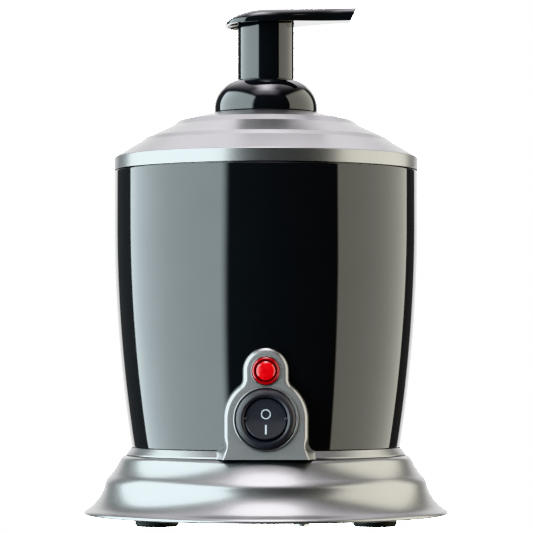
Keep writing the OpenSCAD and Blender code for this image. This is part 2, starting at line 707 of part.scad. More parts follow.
// ---- Switch and lamp ----
pivot_y = panel_y + bezel_h - 1.6;
bezel_open_r = rocker_r + 0.2;
module switch_housing() {
  color([0.1, 0.1, 0.11]) difference() {
    union() {
      facing(switch_z, -panel_y - seat_gap) rotate_extrude() polygon([
        [0, 0], [bezel_r, 0], [bezel_r, 0.6], [bezel_r - 0.5, 1.3], [bezel_r - 1.6, bezel_h - 0.3],
        [bezel_r - 2.8, bezel_h], [0, bezel_h]
      ]);
      facing(switch_z, -panel_y + switch_depth) cylinder(r = switch_body_r, h = switch_depth + 0.5);
      // Snap wings behind the panel's face
      for (side = [-1, 1])
        translate([-3, -panel_y + panel_t + hole_gap, switch_z + side * (switch_body_r - 0.3) - 0.6])
          cube([6, 5, 1.2]);
    }
    // The well that the rocker swings in
    facing(switch_z, -panel_y + 6) cylinder(r = bezel_open_r, h = 20);
    // Blind holes for the rocker's pins
    translate([-bezel_open_r - 1.6, -pivot_y, switch_z]) rotate([0, 90, 0])
      cylinder(r = pivot_r + run_gap, h = 2 * (bezel_open_r + 1.6), $fn = fine);
    // Slots for the blades
    for (z = [-4.5, 4.5])
      translate([-2.4 - hole_gap, -panel_y + switch_depth - 5, switch_z + z - 0.4 - hole_gap])
        cube([4.8 + 2 * hole_gap, 6, 0.8 + 2 * hole_gap]);
  }
}

// The rocker is drawn level and then tipped to its rest pose, with its top pressed in
module switch_rocker() {
  face = 0.6;
  lift = 1.1;
  color([0.1, 0.1, 0.11]) translate([0, -pivot_y, switch_z]) rotate([-rocker_swing / 2, 0, 0]) {
    intersection() {
      sphere(r = rocker_r, $fn = 128);
      rotate([90, 0, 90]) translate([0, 0, -rocker_r]) linear_extrude(2 * rocker_r) polygon([
        [-face, 0], [-face - lift, rocker_r], [2.4, rocker_r - 0.6], [2.4, -rocker_r + 0.6],
        [-face - lift, -rocker_r]
      ]);
    }
    translate([-bezel_open_r - 1.2, 0, 0]) rotate([0, 90, 0])
      cylinder(r = pivot_r, h = 2 * (bezel_open_r + 1.2), $fn = fine);
  }
}

module switch_terminals() {
  color("gold") for (z = [-4.5, 4.5])
    difference() {
      translate([-2.4, -panel_y + switch_depth - 4.5, switch_z + z - 0.4]) cube([4.8, 11, 0.8]);
      translate([0, -panel_y + switch_depth + 4, switch_z + z - 1]) cylinder(r = 0.8, h = 2, $fn = fine);
    }
}

lens_r = 3.45;
module lamp_lens() {
  color([0.8, 0.02, 0.03]) facing(lamp_z, -panel_y - seat_gap) rotate_extrude() polygon([
    [0, 0.2], [lens_r - 0.5, 0.2], [lens_r - 0.5, 0], [lamp_flange_r, 0], [lamp_flange_r, 0.7],
    [lamp_flange_r - 0.4, 1.1], [lens_r + 0.5, 1.1], [lens_r + 0.4, 0.5], [lens_r, 0.5],
    [lens_r, 1.5], [lens_r - 0.6, 2.1], [lens_r - 1.8, 2.4], [0, 2.5]
  ]);
}

bulb_r = 2.2;
module lamp_barrel() {
  color([0.08, 0.08, 0.08]) facing(lamp_z, -panel_y + lamp_depth) difference() {
    cylinder(r = lamp_r, h = lamp_depth);
    translate([0, 0, 1.6]) cylinder(r = bulb_r + free_gap, h = lamp_depth);
    for (x = [-lamp_pin_x, lamp_pin_x]) translate([x, 0, -1]) cylinder(r = 0.75, h = 4, $fn = 24);
  }
}

lamp_pin_x = 1.5;
module lamp_bulb() {
  color([1, 0.7, 0.5]) facing(lamp_z, -panel_y + lamp_depth - 1.9) {
    cylinder(r = bulb_r, h = lamp_depth - 5, $fn = fine);
    translate([0, 0, lamp_depth - 5]) sphere(r = bulb_r, $fn = fine);
  }
}

module lamp_clip() {
  color([0.75, 0.75, 0.76]) facing(lamp_z, -panel_y + panel_t + seat_gap + 0.6)
    tube(panel_tab_r - shell_window_inset - free_gap, lamp_r + seat_gap, 0.6);
}

// ---- Wires ----
// Points along a smooth curve through hand-chosen points
function spline_at(p, i, t) = let (
  n = len(p) - 1,
  a = p[max(i - 1, 0)], b = p[i], c = p[min(i + 1, n)], d = p[min(i + 2, n)]
) 0.5 * (2 * b + (c - a) * t + (2 * a - 5 * b + 4 * c - d) * t * t + (3 * b - a - 3 * c + d) * t * t * t);
function spline(p, per) = concat(
  [for (i = [0:len(p) - 2]) for (k = [0:per - 1]) spline_at(p, i, k / per)], [p[len(p) - 1]]);
function unit(v) = v / norm(v);
function along(p, i) = unit(p[min(i + 1, len(p) - 1)] - p[max(i - 1, 0)]);
// Carries a sideways direction along the path without twisting it
function carried(p, i, side) = let (s = unit(side - (side * along(p, i)) * along(p, i)))
  i == len(p) - 1 ? [s] : concat([s], carried(p, i + 1, s));
module swept(path, r, sides, side) {
  across = carried(path, 0, side);
  lofted([for (i = [0:len(path) - 1]) let (u = across[i], v = cross(along(path, i), u))
    [for (k = [0:sides - 1]) path[i] + r * (cos(360 * k / sides) * u + sin(360 * k / sides) * v)]]);
}
module wire(points, r = 0.9, side = [1, 0, 0]) { swept(spline(points, 4), r, 8, side); }

blade_y = -panel_y + switch_depth + 6.5;
wire_end_y = 1.8;
fuse_tip_x = fuse_half_l + 4.4;
wire_z = plate_top + 4.2;
block_face_x = block_at[0] + block_size[0] / 2;
module live_wires() {
  color([0.35, 0.18, 0.08]) {
    // Terminal block to the switch's lower blade
    wire([[block_face_x + 0.2, block_at[1] - block_pitch, wire_z], [-12, -4, wire_z],
      [-7, -14, 14], [-3, -21, 26], [0, blade_y + 5, switch_z - 4.5], [0, blade_y + 0.3, switch_z - 4.5]],
      side = [0, 0, 1]);
    // Switch's upper blade to the thermostat
    wire([[0, blade_y + 0.3, switch_z + 4.5], [0, blade_y + 6, switch_z + 3.5],
      [0, -11, 36], [0, -5.8, 33.5], [0, -4.5, cup_z - 15.2]], side = [1, 0, 0]);
    // Thermostat to the thermal fuse
    wire([[0, 4.5, cup_z - 15.2], [0, 6, 33], [-5, 11, 33], [-12, 16, 40], [-15, 21, fuse_z - 1.5],
      [-13.5, fuse_at_y, fuse_z], [-fuse_tip_x, fuse_at_y, fuse_z]], side = [1, 0, 0]);
    // Thermal fuse to the heater band's left lead
    wire([[fuse_tip_x, fuse_at_y, fuse_z], [14, 23.5, 47.5], [16, 34, 47], [13, 41, 50], [8, 41.5, 55],
      [heater_pad_w, 40.5, heater_z + 4.5], [heater_pad_w, heater_out_r + wire_end_y, heater_z + 4.5]],
      side = [0, 0, 1]);
  }
}

module neutral_wire() {
  color([0.1, 0.25, 0.6])
    wire([[block_face_x + 0.2, block_at[1], wire_z], [-12, 8, wire_z + 2], [-9, 20, 18],
      [-14, 32, 34], [-13, 41, 50], [-8, 41.5, 55], [-heater_pad_w, 40.5, heater_z + 4.5],
      [-heater_pad_w, heater_out_r + wire_end_y, heater_z + 4.5]], side = [0, 0, 1]);
}

module earth_wire() {
  color([0.3, 0.6, 0.15]) {
    wire([[block_face_x + 0.2, block_at[1] + block_pitch, wire_z], [-13, 15, wire_z + 1], [-14, 15, 22],
      [-21, 9, 36], [-24.5, 4.5, 46], [earth_stud_at[0] - 1, earth_stud_at[1] + 4.8, cup_z - 1.5]],
      side = [1, 0, 0]);
    // Ring tag on the cup's stud
    translate([earth_stud_at[0], earth_stud_at[1], cup_z - 1.9])
      tube(3.2, stud_r + seat_gap, 0.8);
  }
}

lamp_wire_y = -panel_y + lamp_depth + 0.3;
module lamp_leads() {
  color([0.85, 0.85, 0.8]) for (side = [-1, 1])
    wire([[side * lamp_pin_x, -panel_y + lamp_depth - 1.2, lamp_z], [side * lamp_pin_x, lamp_wire_y, lamp_z],
      [side * 3.5, lamp_wire_y + 0.7, 53.2], [side * 9, -38.3, 50.2], [side * 12, -35, 46],
      [side * 11, -30.5, switch_z + side * 3], [side * 4.6, -30.5, switch_z + side * 4.5],
      [side * 2.7, -30.5, switch_z + side * 4.5]],
      r = 0.5, side = [0, 0, 1]);
}

// ---- Lid ----
function lid_top() = concat(
  [[lid_r, lid_z]],
  arc(lid_r - 1.0, lid_z + band_h - 0.2, 1.0, 0, 60, 4),
  [[slope3_r + 0.5, slope3_z - 0.25], [slope3_r, slope3_z]],
  [[slope2_r, slope2_z], [slope2_r - 0.6, slope2_z + 0.35]],
  [[slope2_end_r, slope2_end_z]],
  bezier([[slope2_end_r - 1.2, slope2_end_z + 0.9], [slope2_end_r - 2.0, slope1_z - 0.7],
    [slope1_r, slope1_z - 0.1], [slope1_r - 1.3, slope1_z + 0.35]], 4),
  [[seat_r, seat_z + 0.15], [seat_r - 0.3, seat_z]]);
// Height of the lid's underside at the inner face of its rim
function lid_under_rim() = mix(lid_z + band_h, slope3_z,
  (lid_r - lid_rim_r + lid_rim_wall) / (lid_r - slope3_r)) - lid_wall * 1.15;

// A thread's ridge, from its root radius to its crest, that fades at both ends
module helix_ridge(r_root, r_crest, z0, from_turn, turns) {
  per = 32;
  n = round(per * turns);
  lofted([for (i = [0:n]) let (
      a = 360 * (from_turn + i / per),
      z = z0 + thread_pitch * a / 360,
      crest = mix(r_root, r_crest, min(1, i / 4, (n - i) / 4) * 0.9 + 0.1),
      section = [[r_root, -thread_base], [r_root, thread_base], [crest, thread_crest], [crest, -thread_crest]])
    [for (q = r_crest > r_root ? section : reversed(section)) [q[0] * cos(a), q[0] * sin(a), z + q[1]]]]);
}

module lid() {
  top = lid_top();
  under = [for (p = reversed(top)) if (p[0] < lid_rim_r - lid_rim_wall - 1.0 && p[0] > neck_bore_r + 3)
    [p[0] - 0.5, p[1] - lid_wall * 1.15]];
  rim_in = lid_rim_r - lid_rim_wall;
  color([0.78, 0.78, 0.8]) {
    difference() {
      union() {
        rotate_extrude() polygon(concat(
          top,
          [[neck_bore_r, seat_z], [neck_bore_r, seat_z - lid_wall]], under,
          [[rim_in, lid_under_rim()], [rim_in, lid_z - lid_rim_h], [lid_rim_r, lid_z - lid_rim_h],
            [lid_rim_r, lid_z]]));
        // Neck for the collar
        translate([0, 0, seat_z - 1]) cylinder(r = neck_r, h = neck_h + 1);
        // Ring that presses the seal on the reservoir
        translate([0, 0, lid_seal_z + lid_seal_h / 2])
          tube(lid_ring_r + 2, lid_ring_r, slope2_end_z - lid_wall - lid_seal_z - lid_seal_h / 2 + 0.3);
      }
      translate([0, 0, seat_z - 8]) cylinder(r = neck_bore_r, h = neck_h + 20);
      translate([0, 0, lid_seal_z + lid_seal_h / 2 - 1])
        tube(lid_ring_r + 1.5, lid_ring_r + 0.5, lid_seal_h / 2 + 1 + seat_gap);
    }
    helix_ridge(neck_r - 0.1, thread_out_r, thread_z, 0, 0.9);
  }
}

lid_seal_z = cup_flange_z + cup_flange_t + hole_gap;
lid_seal_h = 2.4;
module lid_seal() {
  color([0.85, 0.83, 0.78]) translate([0, 0, lid_seal_z]) {
    tube(lid_ring_r + 2, lid_ring_r, lid_seal_h / 2 - seat_gap);
    translate([0, 0, lid_seal_h / 2 - seat_gap - eps])
      tube(lid_ring_r + 1.4, lid_ring_r + 0.6, lid_seal_h / 2 + seat_gap);
  }
}

// ---- Pump ----
module pump_collar() {
  clamp_z = pump_flange_top + seat_gap;
  lip_a = acos((collar_hole_r - collar_arc_at_r) / collar_round);
  color([0.03, 0.03, 0.03]) {
    rotate_extrude() polygon(concat(
      [[collar_thread_wall_r, collar_z], [collar_r - 0.5, collar_z]],
      arc(collar_r - 0.5, collar_z + 0.5, 0.5, -60, 0, 3),
      arc(collar_arc_at_r, collar_arc_z, collar_round, 0, lip_a, 16),
      [[collar_hole_r, clamp_z + 2], [air_r + 1.2, clamp_z + 1.6], [air_r + 1.2, clamp_z],
        [pump_flange_r() + free_gap, clamp_z], [pump_flange_r() + free_gap, clamp_z - 1.2],
        [collar_thread_wall_r, clamp_z - 1.6]]));
    helix_ridge(collar_thread_wall_r + 0.1, collar_thread_r, thread_z - thread_pitch / 2, 0.5, 1.0);
  }
}
function pump_flange_r() = neck_r;

module collar_gasket() {
  color([0.8, 0.8, 0.78]) translate([0, 0, neck_top + seat_gap]) tube(neck_r, neck_bore_r, gasket_t);
}

module pump_cylinder() {
  liquid_out_r = liquid_r + cylinder_wall;
  dip_out_r = dip_r + cylinder_wall;
  color([0.9, 0.9, 0.92]) difference() {
    rotate_extrude() polygon([
      [air_r, pump_flange_top], [pump_flange_r(), pump_flange_top], [pump_flange_r(), pump_flange_z],
      [air_out_r, pump_flange_z], [air_out_r, air_floor + 1.5], [air_out_r - 1.5, air_floor],
      [liquid_out_r, air_floor], [liquid_out_r, liquid_floor - 1], [dip_out_r, liquid_floor - 4],
      [dip_out_r, dip_socket_z - dip_socket_h], [dip_r + run_gap, dip_socket_z - dip_socket_h],
      [dip_r + run_gap, dip_socket_z], [1.2, dip_socket_z], [1.2, valve_seat_z],
      [ball_pocket_r, valve_seat_z + 1.2], [ball_pocket_r, liquid_floor], [liquid_r, liquid_floor],
      [liquid_r, air_floor + 1.2], [air_r, air_floor + 1.2]
    ]);
    // Vent holes that let air into the cup
    for (a = [0, 180]) around(air_out_r, a, pump_flange_z - 5) rotate([0, 90, 0])
      translate([0, 0, -3]) cylinder(r = 0.6, h = 6, $fn = 24);
  }
}

module dip_tube() {
  foot = cup_floor + 2.2;
  color([0.92, 0.93, 0.95]) translate([0, 0, foot]) difference() {
    tube(dip_r, dip_r - dip_wall, dip_socket_z - seat_gap - foot);
    // The tube's foot is cut aslant so that it can't seal on the cup's floor
    rotate([0, 25, 0]) translate([-10, -10, -20]) cube([20, 20, 20]);
  }
}

module inlet_ball() {
  color([0.8, 0.82, 0.85]) translate([0, 0, ball_z]) sphere(r = ball_r, $fn = 64);
}

module pump_spring() {
  per = 16;
  n = spring_turns * per;
  path = [for (i = [0:n]) let (a = 360 * i / per)
    [spring_at_r * cos(a), spring_at_r * sin(a), mix(spring_z, spring_top, i / n)]];
  echo(spring_gap = (spring_top - spring_z) / spring_turns - 2 * spring_wire_r);
  color([0.7, 0.7, 0.72]) swept(path, spring_wire_r, 6, [1, 0, 0]);
}

module pump_rod() {
  foot = liquid_piston_z + 1.5;
  color([0.9, 0.9, 0.92]) difference() {
    union() {
      translate([0, 0, foot]) cylinder(r = rod_r, h = rod_top - foot);
      // Shoulder that carries the air piston, and the plug in the head's socket
      translate([0, 0, air_piston_z - 2]) cylinder(r = rod_r + 1.2, h = 2 - seat_gap);
      translate([0, 0, rod_top - 5]) cylinder(r = cartridge_r - seat_gap, h = 5);
    }
    translate([0, 0, foot - 1]) cylinder(r = rod_bore_r, h = rod_top - foot + 2);
    // Air inlets to the mixing point
    for (a = [0, 90]) around(0, a, rod_top - 8) rotate([0, 90, 0])
      translate([0, 0, -6]) cylinder(r = 0.5, h = 12, $fn = 24);
  }
}

module air_piston() {
  hub_r = rod_r + run_gap;
  color([0.95, 0.95, 0.93]) translate([0, 0, air_piston_z]) rotate_extrude() polygon([
    [hub_r, 0], [rod_r + 2.2, 0], [rod_r + 2.6, 2.2], [air_r - 2.6, 2.2], [air_r - 1.4, 0.2],
    [air_r - run_gap, 0], [air_r - run_gap, 1.0], [air_r - 0.6, air_piston_h / 2],
    [air_r - run_gap, air_piston_h - 1], [air_r - run_gap, air_piston_h], [air_r - 1.2, air_piston_h],
    [air_r - 2.0, 3.8], [rod_r + 2.2, 3.8], [rod_r + 1.8, air_piston_h], [hub_r, air_piston_h]
  ]);
}

module liquid_piston() {
  color([0.95, 0.95, 0.93]) translate([0, 0, liquid_piston_z]) difference() {
    rotate_extrude() polygon([
      [rod_bore_r, 0], [liquid_r - 1.2, 0.8], [liquid_r - run_gap, 0], [liquid_r - run_gap, 1.4],
      [liquid_r - 0.4, liquid_piston_h / 2], [liquid_r - run_gap, liquid_piston_h - 1.4],
      [liquid_r - run_gap, liquid_piston_h], [rod_bore_r, liquid_piston_h]
    ]);
    translate([0, 0, 1.4]) cylinder(r = rod_r + run_gap, h = liquid_piston_h);
  }
}

module foam_cartridge() {
  color([0.95, 0.95, 0.95]) translate([0, 0, cartridge_z]) difference() {
    cylinder(r = cartridge_r - seat_gap, h = cartridge_h);
    translate([0, 0, 0.5]) cylinder(r = cartridge_r - 1, h = cartridge_h - 1);
    // Meshes: a grid of small openings in each end
    for (x = [-1:1]) for (y = [-1:1])
      translate([2 * x - 0.5, 2 * y - 0.5, -1]) cube([1, 1, cartridge_h + 2]);
  }
}

// ---- Spout head ----
taper_x = -4.0;
// How far the spout's end face leans out for each millimetre of height
end_slant = 0.48;
// Half-outline of the head seen from above, from its back to its tip
function head_plan(grow) = concat(
  bezier([[-head_back - grow, 0.35], [-head_back - grow, head_half_w * 0.62 + grow],
    [-head_back * 0.85 - grow, head_half_w + grow], [taper_x, head_half_w + grow]], 11),
  tail(bezier([[taper_x, head_half_w + grow], [8, head_half_w + grow],
    [spout_reach * 0.5, tip_half_w + 1.6 + grow], [spout_reach, tip_half_w + grow]], 13)));
function rim_z(x) = head_z + rim_rise * (x + head_back) / (spout_reach + head_back);
// Height of the crown along the head's middle, as a share of head_h above the rim
function crown(x) = let (t = (x + head_back) / (spout_reach + head_back))
  head_h * (x < 0
    ? 0.06 + 0.94 * pow(sin(90 * (x + head_back) / head_back), 0.62)
    : 1) - 0.35 * max(0, t - 0.32);

// The head's upper form: sections along the spout, each an arch over the rim
module head_form(grow, drop, slant) {
  plan = head_plan(grow);
  sides = 14;
  rings = [for (p = plan) let (zr = rim_z(p[0]) - drop, zt = rim_z(p[0]) + crown(max(p[0], -head_back)) + grow)
    [for (k = [0:sides]) let (
        a = 180 * k / sides,
        c = cos(a), s = sin(a),
        y = p[1] * sign(c) * pow(abs(c), 0.55),
        z = zr + (zt - zr) * pow(s, 0.62))
      [p[0] + slant * (z - zr) * max(0, (p[0] - spout_reach * 0.8) / (spout_reach * 0.2)), y, z]]];
  lofted(rings);
}

duct_z = head_z + 3.3;
duct_tilt = 2.1;
hollow_end_x = 9.5;
module spout_head() {
  color([0.03, 0.03, 0.03]) difference() {
    union() {
      difference() {
        head_form(0, 0, end_slant);
        // Hollow of the cap behind the spout's closed floor
        intersection() {
          head_form(-head_wall, 1, 0);
          translate([-40 + hollow_end_x, -20, head_z - 10]) cube([40, 40, 30]);
        }
      }
      intersection() {
        translate([0, 0, stem_foot_z]) tube(stem_r, stem_r - stem_wall, head_z + head_h - stem_foot_z);
        translate([0, 0, stem_foot_z - 1]) cylinder(r = 30, h = head_z + 3.8 - stem_foot_z);
      }
      // Socket for the rod and the foam cartridge
      translate([0, 0, rod_top - 6]) cylinder(r = socket_r, h = head_z + 4.2 - rod_top + 6);
      // Duct wall from the socket to the spout
      translate([0, -duct_r - 1.2, head_z + 0.8]) cube([hollow_end_x + 1, 2 * (duct_r + 1.2), 3.9]);
    }
    translate([0, 0, rod_top - 7]) cylinder(r = cartridge_r, h = cartridge_h + 7.4);
    translate([0, 0, rod_top]) cylinder(r = 3, h = duct_z - rod_top);
    translate([0, 0, duct_z]) rotate([0, 90 - duct_tilt, 0]) cylinder(r = duct_r, h = spout_reach + 10, $fn = fine);
  }
}

base_skirt();
bottom_plate();
rubber_feet();
plate_screws();
shell_screws();
cord_gland();
cord_clamp();
clamp_screws();
terminal_block();
terminal_screws();
control_ring();
main_shell();
top_tray();
reservoir();
heater_band();
heater_clamp();
heater_clamp_bolt();
thermostat();
thermostat_screws();
thermal_fuse();
fuse_clip();
stud_nuts();
switch_housing();
switch_rocker();
switch_terminals();
lamp_lens();
lamp_barrel();
lamp_clip();
lamp_bulb();
live_wires();
neutral_wire();
earth_wire();
lamp_leads();
lid();
lid_seal();
pump_collar();
collar_gasket();
pump_cylinder();
dip_tube();
inlet_ball();
pump_spring();
pump_rod();
air_piston();
liquid_piston();
foam_cartridge();
spout_head();
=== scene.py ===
# %% [markdown]
# # A hot lather machine
# The machine is a heated cup inside a round barrel, on a flared stand, with a foam pump in its
# lid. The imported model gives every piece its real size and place. This script loads it, draws
# the pieces that show once more with their soft edges, and gives each piece its looks. Sizes
# are written in millimetres, as a maker would measure them, and MM turns them into Blender's
# metres. Only the lights are given in metres.

# %% Load the model
import json
from math import acos, asin, atan2, cos, degrees, pi, radians, sin, sqrt, tan

import bmesh
import bpy
from mathutils import Matrix, Vector


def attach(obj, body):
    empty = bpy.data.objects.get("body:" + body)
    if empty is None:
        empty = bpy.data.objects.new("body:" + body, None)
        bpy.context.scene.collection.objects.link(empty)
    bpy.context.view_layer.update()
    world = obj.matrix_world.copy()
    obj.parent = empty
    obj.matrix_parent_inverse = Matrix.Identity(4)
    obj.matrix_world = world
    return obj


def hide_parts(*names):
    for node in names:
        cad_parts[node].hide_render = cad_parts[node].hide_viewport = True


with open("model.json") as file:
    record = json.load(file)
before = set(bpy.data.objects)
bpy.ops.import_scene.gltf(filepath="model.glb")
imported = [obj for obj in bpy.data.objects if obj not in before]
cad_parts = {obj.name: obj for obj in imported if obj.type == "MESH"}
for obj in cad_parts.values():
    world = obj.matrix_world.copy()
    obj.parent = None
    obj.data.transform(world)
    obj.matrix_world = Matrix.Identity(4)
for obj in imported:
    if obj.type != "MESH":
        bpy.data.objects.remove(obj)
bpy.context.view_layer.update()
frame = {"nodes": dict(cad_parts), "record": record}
MM = 0.001
panel_y, lamp_z, lens_r, lens_groove_r = 56.0, 56.1, 3.45, 3.9  # finishes need these too

# %% [markdown]
# ## The camera
# A photograph of a small product is taken with a long lens from about a metre away, so that
# its sides look parallel. Here the lens stands a little above the stand and looks slightly up,
# which is why the stand shows its top and the spout shows its underside.

# %% Camera
camera_distance = 1059.0
camera_height = 61.0
camera_aside = 0.23
camera_tilt = 1.835
lens_length = 190.8

camera = bpy.data.objects.new("camera", bpy.data.cameras.new("camera"))
bpy.context.scene.collection.objects.link(camera)
camera.data.lens = lens_length
camera.location = Vector((camera_aside, -camera_distance, camera_height)) * MM
camera.rotation_euler = (radians(90 + camera_tilt), 0, 0)
bpy.context.scene.camera = camera
print("camera", tuple(round(v, 3) for v in camera.location))

# %% [markdown]
# ## Node maths as plain expressions
# A material's nodes are easier to read as sums. This small class holds one output socket.
# `+`, `-` and `*` on it add Math nodes, `along` takes one coordinate of a vector, and `node`
# adds any other node: its kind, its settings, then what goes into its sockets.

# %% Socket class
class Socket:
    """An output socket; arithmetic on it adds Math nodes to its material."""

    def __init__(self, tree, socket=None):
        self.tree, self.socket = tree, socket

    def node(self, kind, settings, inputs, output=0):
        made = self.tree.nodes.new("ShaderNode" + kind)
        for name, value in settings.items():
            setattr(made, name, value)
        for name, value in inputs.items():
            if isinstance(value, Socket):
                self.tree.links.new(value.socket, made.inputs[name])
            else:
                made.inputs[name].default_value = value
        return Socket(self.tree, made.outputs[output])

    def maths(self, operation, first, second):
        return self.node("Math", {"operation": operation}, {0: first, 1: second})

    def along(self, axis):
        return self.node("SeparateXYZ", {}, {0: self}, axis)

    def __add__(self, other): return self.maths("ADD", self, other)
    def __radd__(self, other): return self.maths("ADD", other, self)
    def __sub__(self, other): return self.maths("SUBTRACT", self, other)
    def __rsub__(self, other): return self.maths("SUBTRACT", other, self)
    def __mul__(self, other): return self.maths("MULTIPLY", self, other)
    def __rmul__(self, other): return self.maths("MULTIPLY", other, self)


# %% [markdown]
# ## Light
# Gloss black shows nothing but its surroundings, so the lights are also the drawing. The
# machine stands in a light tent. Its cool left wall and its dimmer, warmer right wall make the
# two upright bands on the barrel, and its dim roof, with a bright spot and a softer patch
# nearer the camera, lights the slopes. Its plain back wall rims the edges. A lamp behind cloth
# doesn't end at a line, so every other wall fades towards its edges. The camera itself doesn't
# see the walls.

# %% Light
tent_centre = Vector((0, 0, 0.09))


def tent_wall(name, bearing, rise, distance, size, radiance, tint, fades=(0, 0, 0, 0)):
    """A wall of light facing the machine; bearing 0 is the camera's side, 90 the left.

    Its distance and size are in metres. The fades are shares of the wall at its left, right,
    lower and upper edge, seen from the machine, over which its light rises to the full
    radiance.
    """
    lamp = bpy.data.lights.new(name, "AREA")
    lamp.shape, lamp.size, lamp.size_y = "RECTANGLE", *size
    lamp.energy = radiance * pi * size[0] * size[1]
    lamp.color = tint
    holder = bpy.data.objects.new(name, lamp)
    bpy.context.scene.collection.objects.link(holder)
    turn, lift = radians(bearing), radians(rise)
    away = Vector((-sin(turn) * cos(lift), -cos(turn) * cos(lift), sin(lift)))
    holder.location = tent_centre + away * distance
    holder.rotation_euler = (-away).to_track_quat("-Z", "Y").to_euler()
    holder.visible_camera = False
    if any(fades):
        lamp.use_nodes = True
        tree = lamp.node_tree
        spot = Socket(tree).node("NewGeometry", {}, {}, "Parametric")
        x, y = spot.along("X"), spot.along("Y")
        strength = 1.0
        for place, fade in zip((x, 1 - x, y, 1 - y), fades):
            if fade:
                strength = strength * place.node("MapRange", {"interpolation_type": "SMOOTHSTEP"}, {
                    "Value": place, "From Min": 0.0, "From Max": fade})
        tree.links.new(strength.socket, tree.nodes["Emission"].inputs["Strength"])


cool, warm, violet, plain = (0.83, 0.96, 1.0), (1.0, 0.98, 0.86), (0.97, 0.94, 1.0), (1, 1, 1)
tent_wall("left_wall", 73.4, 8, 1.15, (2.52, 2.2), 5.2, cool, (0.0, 0.127, 0.0, 0.12))
tent_wall("right_wall", -92, 8, 1.25, (2.0, 2.2), 2.3, warm, (0.03, 0.0, 0.0, 0.12))
tent_wall("roof", 180, 78, 1.25, (2.2, 2.6), 2.0, violet, (0.35, 0.35, 0.1, 0.6))
tent_wall("roof_spot", 0, 80, 1.2, (0.8, 1.15), 9.0, violet, (0.5, 0.5, 0.5, 0.5))
tent_wall("front_roof", 0, 58, 1.3, (1.5, 0.9), 2.4, violet, (0.4, 0.4, 0.45, 0.3))
tent_wall("back_wall", 180, 0, 1.6, (1.85, 2.0), 1.4, plain)

# %% [markdown]
# ## Building blocks of a finish
# Every finish starts as a Principled shader with its constants set on its own sockets. What
# varies comes from noise in the object's own coordinates, so it sits still on the surface and
# has a real size: a grain of 0.2 mm is 0.2 mm on every piece.

# %% Finish helpers
def new_finish(name, **constants):
    """A material with one Principled shader; returns it with a Socket to start sums from."""
    material = bpy.data.materials.new(name)
    material.use_nodes = True
    shader = material.node_tree.nodes["Principled BSDF"]
    for socket, value in constants.items():
        shader.inputs[socket.replace("_", " ")].default_value = value
    start = Socket(material.node_tree)
    place = start.node("TexCoord", {}, {}, "Object")
    return material, shader, place


def feed(shader, **links):
    """Links what varies to the shader's sockets."""
    for name, socket in links.items():
        socket.tree.links.new(socket.socket, shader.inputs[name.replace("_", " ")])


def grain(place, size_mm, detail):
    """Noise from 0 to 1 whose features are about size_mm across."""
    return place.node("TexNoise", {}, {
        "Vector": place, "Scale": 1 / (size_mm * MM), "Detail": detail, "Roughness": 0.5})


def streaks(place, across_mm, along_mm):
    """Noise drawn out along Z, as a rolled or drawn surface has."""
    squeezed = place.node("VectorMath", {"operation": "MULTIPLY"}, {
        0: place, 1: (1 / (across_mm * MM), 1 / (across_mm * MM), 1 / (along_mm * MM))})
    return place.node("TexNoise", {}, {"Vector": squeezed, "Scale": 1.0, "Detail": 2.0})


def between(mask, first, second):
    """A colour that goes from first to second as mask goes from 0 to 1."""
    return mask.node("Mix", {"data_type": "RGBA"}, {0: mask, 6: (*first, 1), 7: (*second, 1)}, 2)


def contrast(value, low, high):
    """Spreads the values from low to high over 0 to 1."""
    return value.node("MapRange", {"clamp": True}, {
        "Value": value, "From Min": low, "From Max": high, "To Min": 0.0, "To Max": 1.0})


def contrast_mm(value, low, high):
    """The same for a length, with its limits in millimetres."""
    return contrast(value, low * MM, high * MM)


def bump(height, depth_mm, strength):
    """A normal that makes height stand depth_mm proud."""
    return height.node("Bump", {}, {
        "Height": height, "Distance": depth_mm * MM, "Strength": strength})


def shade_of(colour, factor):
    return tuple(channel * factor for channel in colour)


# %% [markdown]
# ## The silver paint
# The stand, the trim and the lid are moulded plastic with a metallic paint. Fine aluminium
# flakes lie in a clear binder: each flake is a tiny mirror at its own tilt. Close up that
# reads as a soft sparkle, from afar as a satin sheen, so the flakes vary both the colour and
# the roughness, and a very shallow bump tilts the light. The panel's flat face is duller than
# the rest, so a mask by depth and height adds roughness there.

# %% Silver paint
def silver_paint():
    material, shader, place = new_finish(
        "silver_paint", Metallic=0.93, IOR=1.5, Coat_Roughness=0.3, Coat_IOR=1.4)
    flakes = place.node("TexVoronoi", {"feature": "F1"}, {
        "Vector": place, "Scale": 1 / (0.16 * MM)}, "Color")
    flake = flakes.node("SeparateColor", {}, {"Color": flakes})
    cloud = grain(place, 9.0, 3.0)
    tone = contrast(flake * 0.5 + cloud * 0.5, 0.1, 0.9)
    depth, height = 0 - place.along("Y"), place.along("Z")
    above_panel, below_panel = 78.0, 23.0
    face = (contrast_mm(depth, panel_y - 0.15, panel_y - 0.02)
            * (1 - contrast_mm(depth, panel_y + 0.1, panel_y + 0.2))
            * (1 - contrast_mm(height, above_panel, above_panel + 1.0))
            * contrast_mm(height, below_panel, below_panel + 0.5))
    feed(shader,
         Base_Color=between(tone, (0.262, 0.260, 0.258), (0.306, 0.304, 0.302)),
         Roughness=0.27 + flake * 0.05 + cloud * 0.02 + face * 0.36,
         Coat_Weight=0.08 + cloud * 0.05,
         Normal=bump(flake, 0.004, 0.35))
    return material


# %% [markdown]
# ## Gloss black
# The barrel and the pump are polished black mouldings. A real gloss isn't a perfect mirror:
# the mould leaves a faint waviness, and dust and wiping leave the gloss slightly uneven. Both
# stay under what you would call texture, but without them the reflections look drawn with a
# ruler.

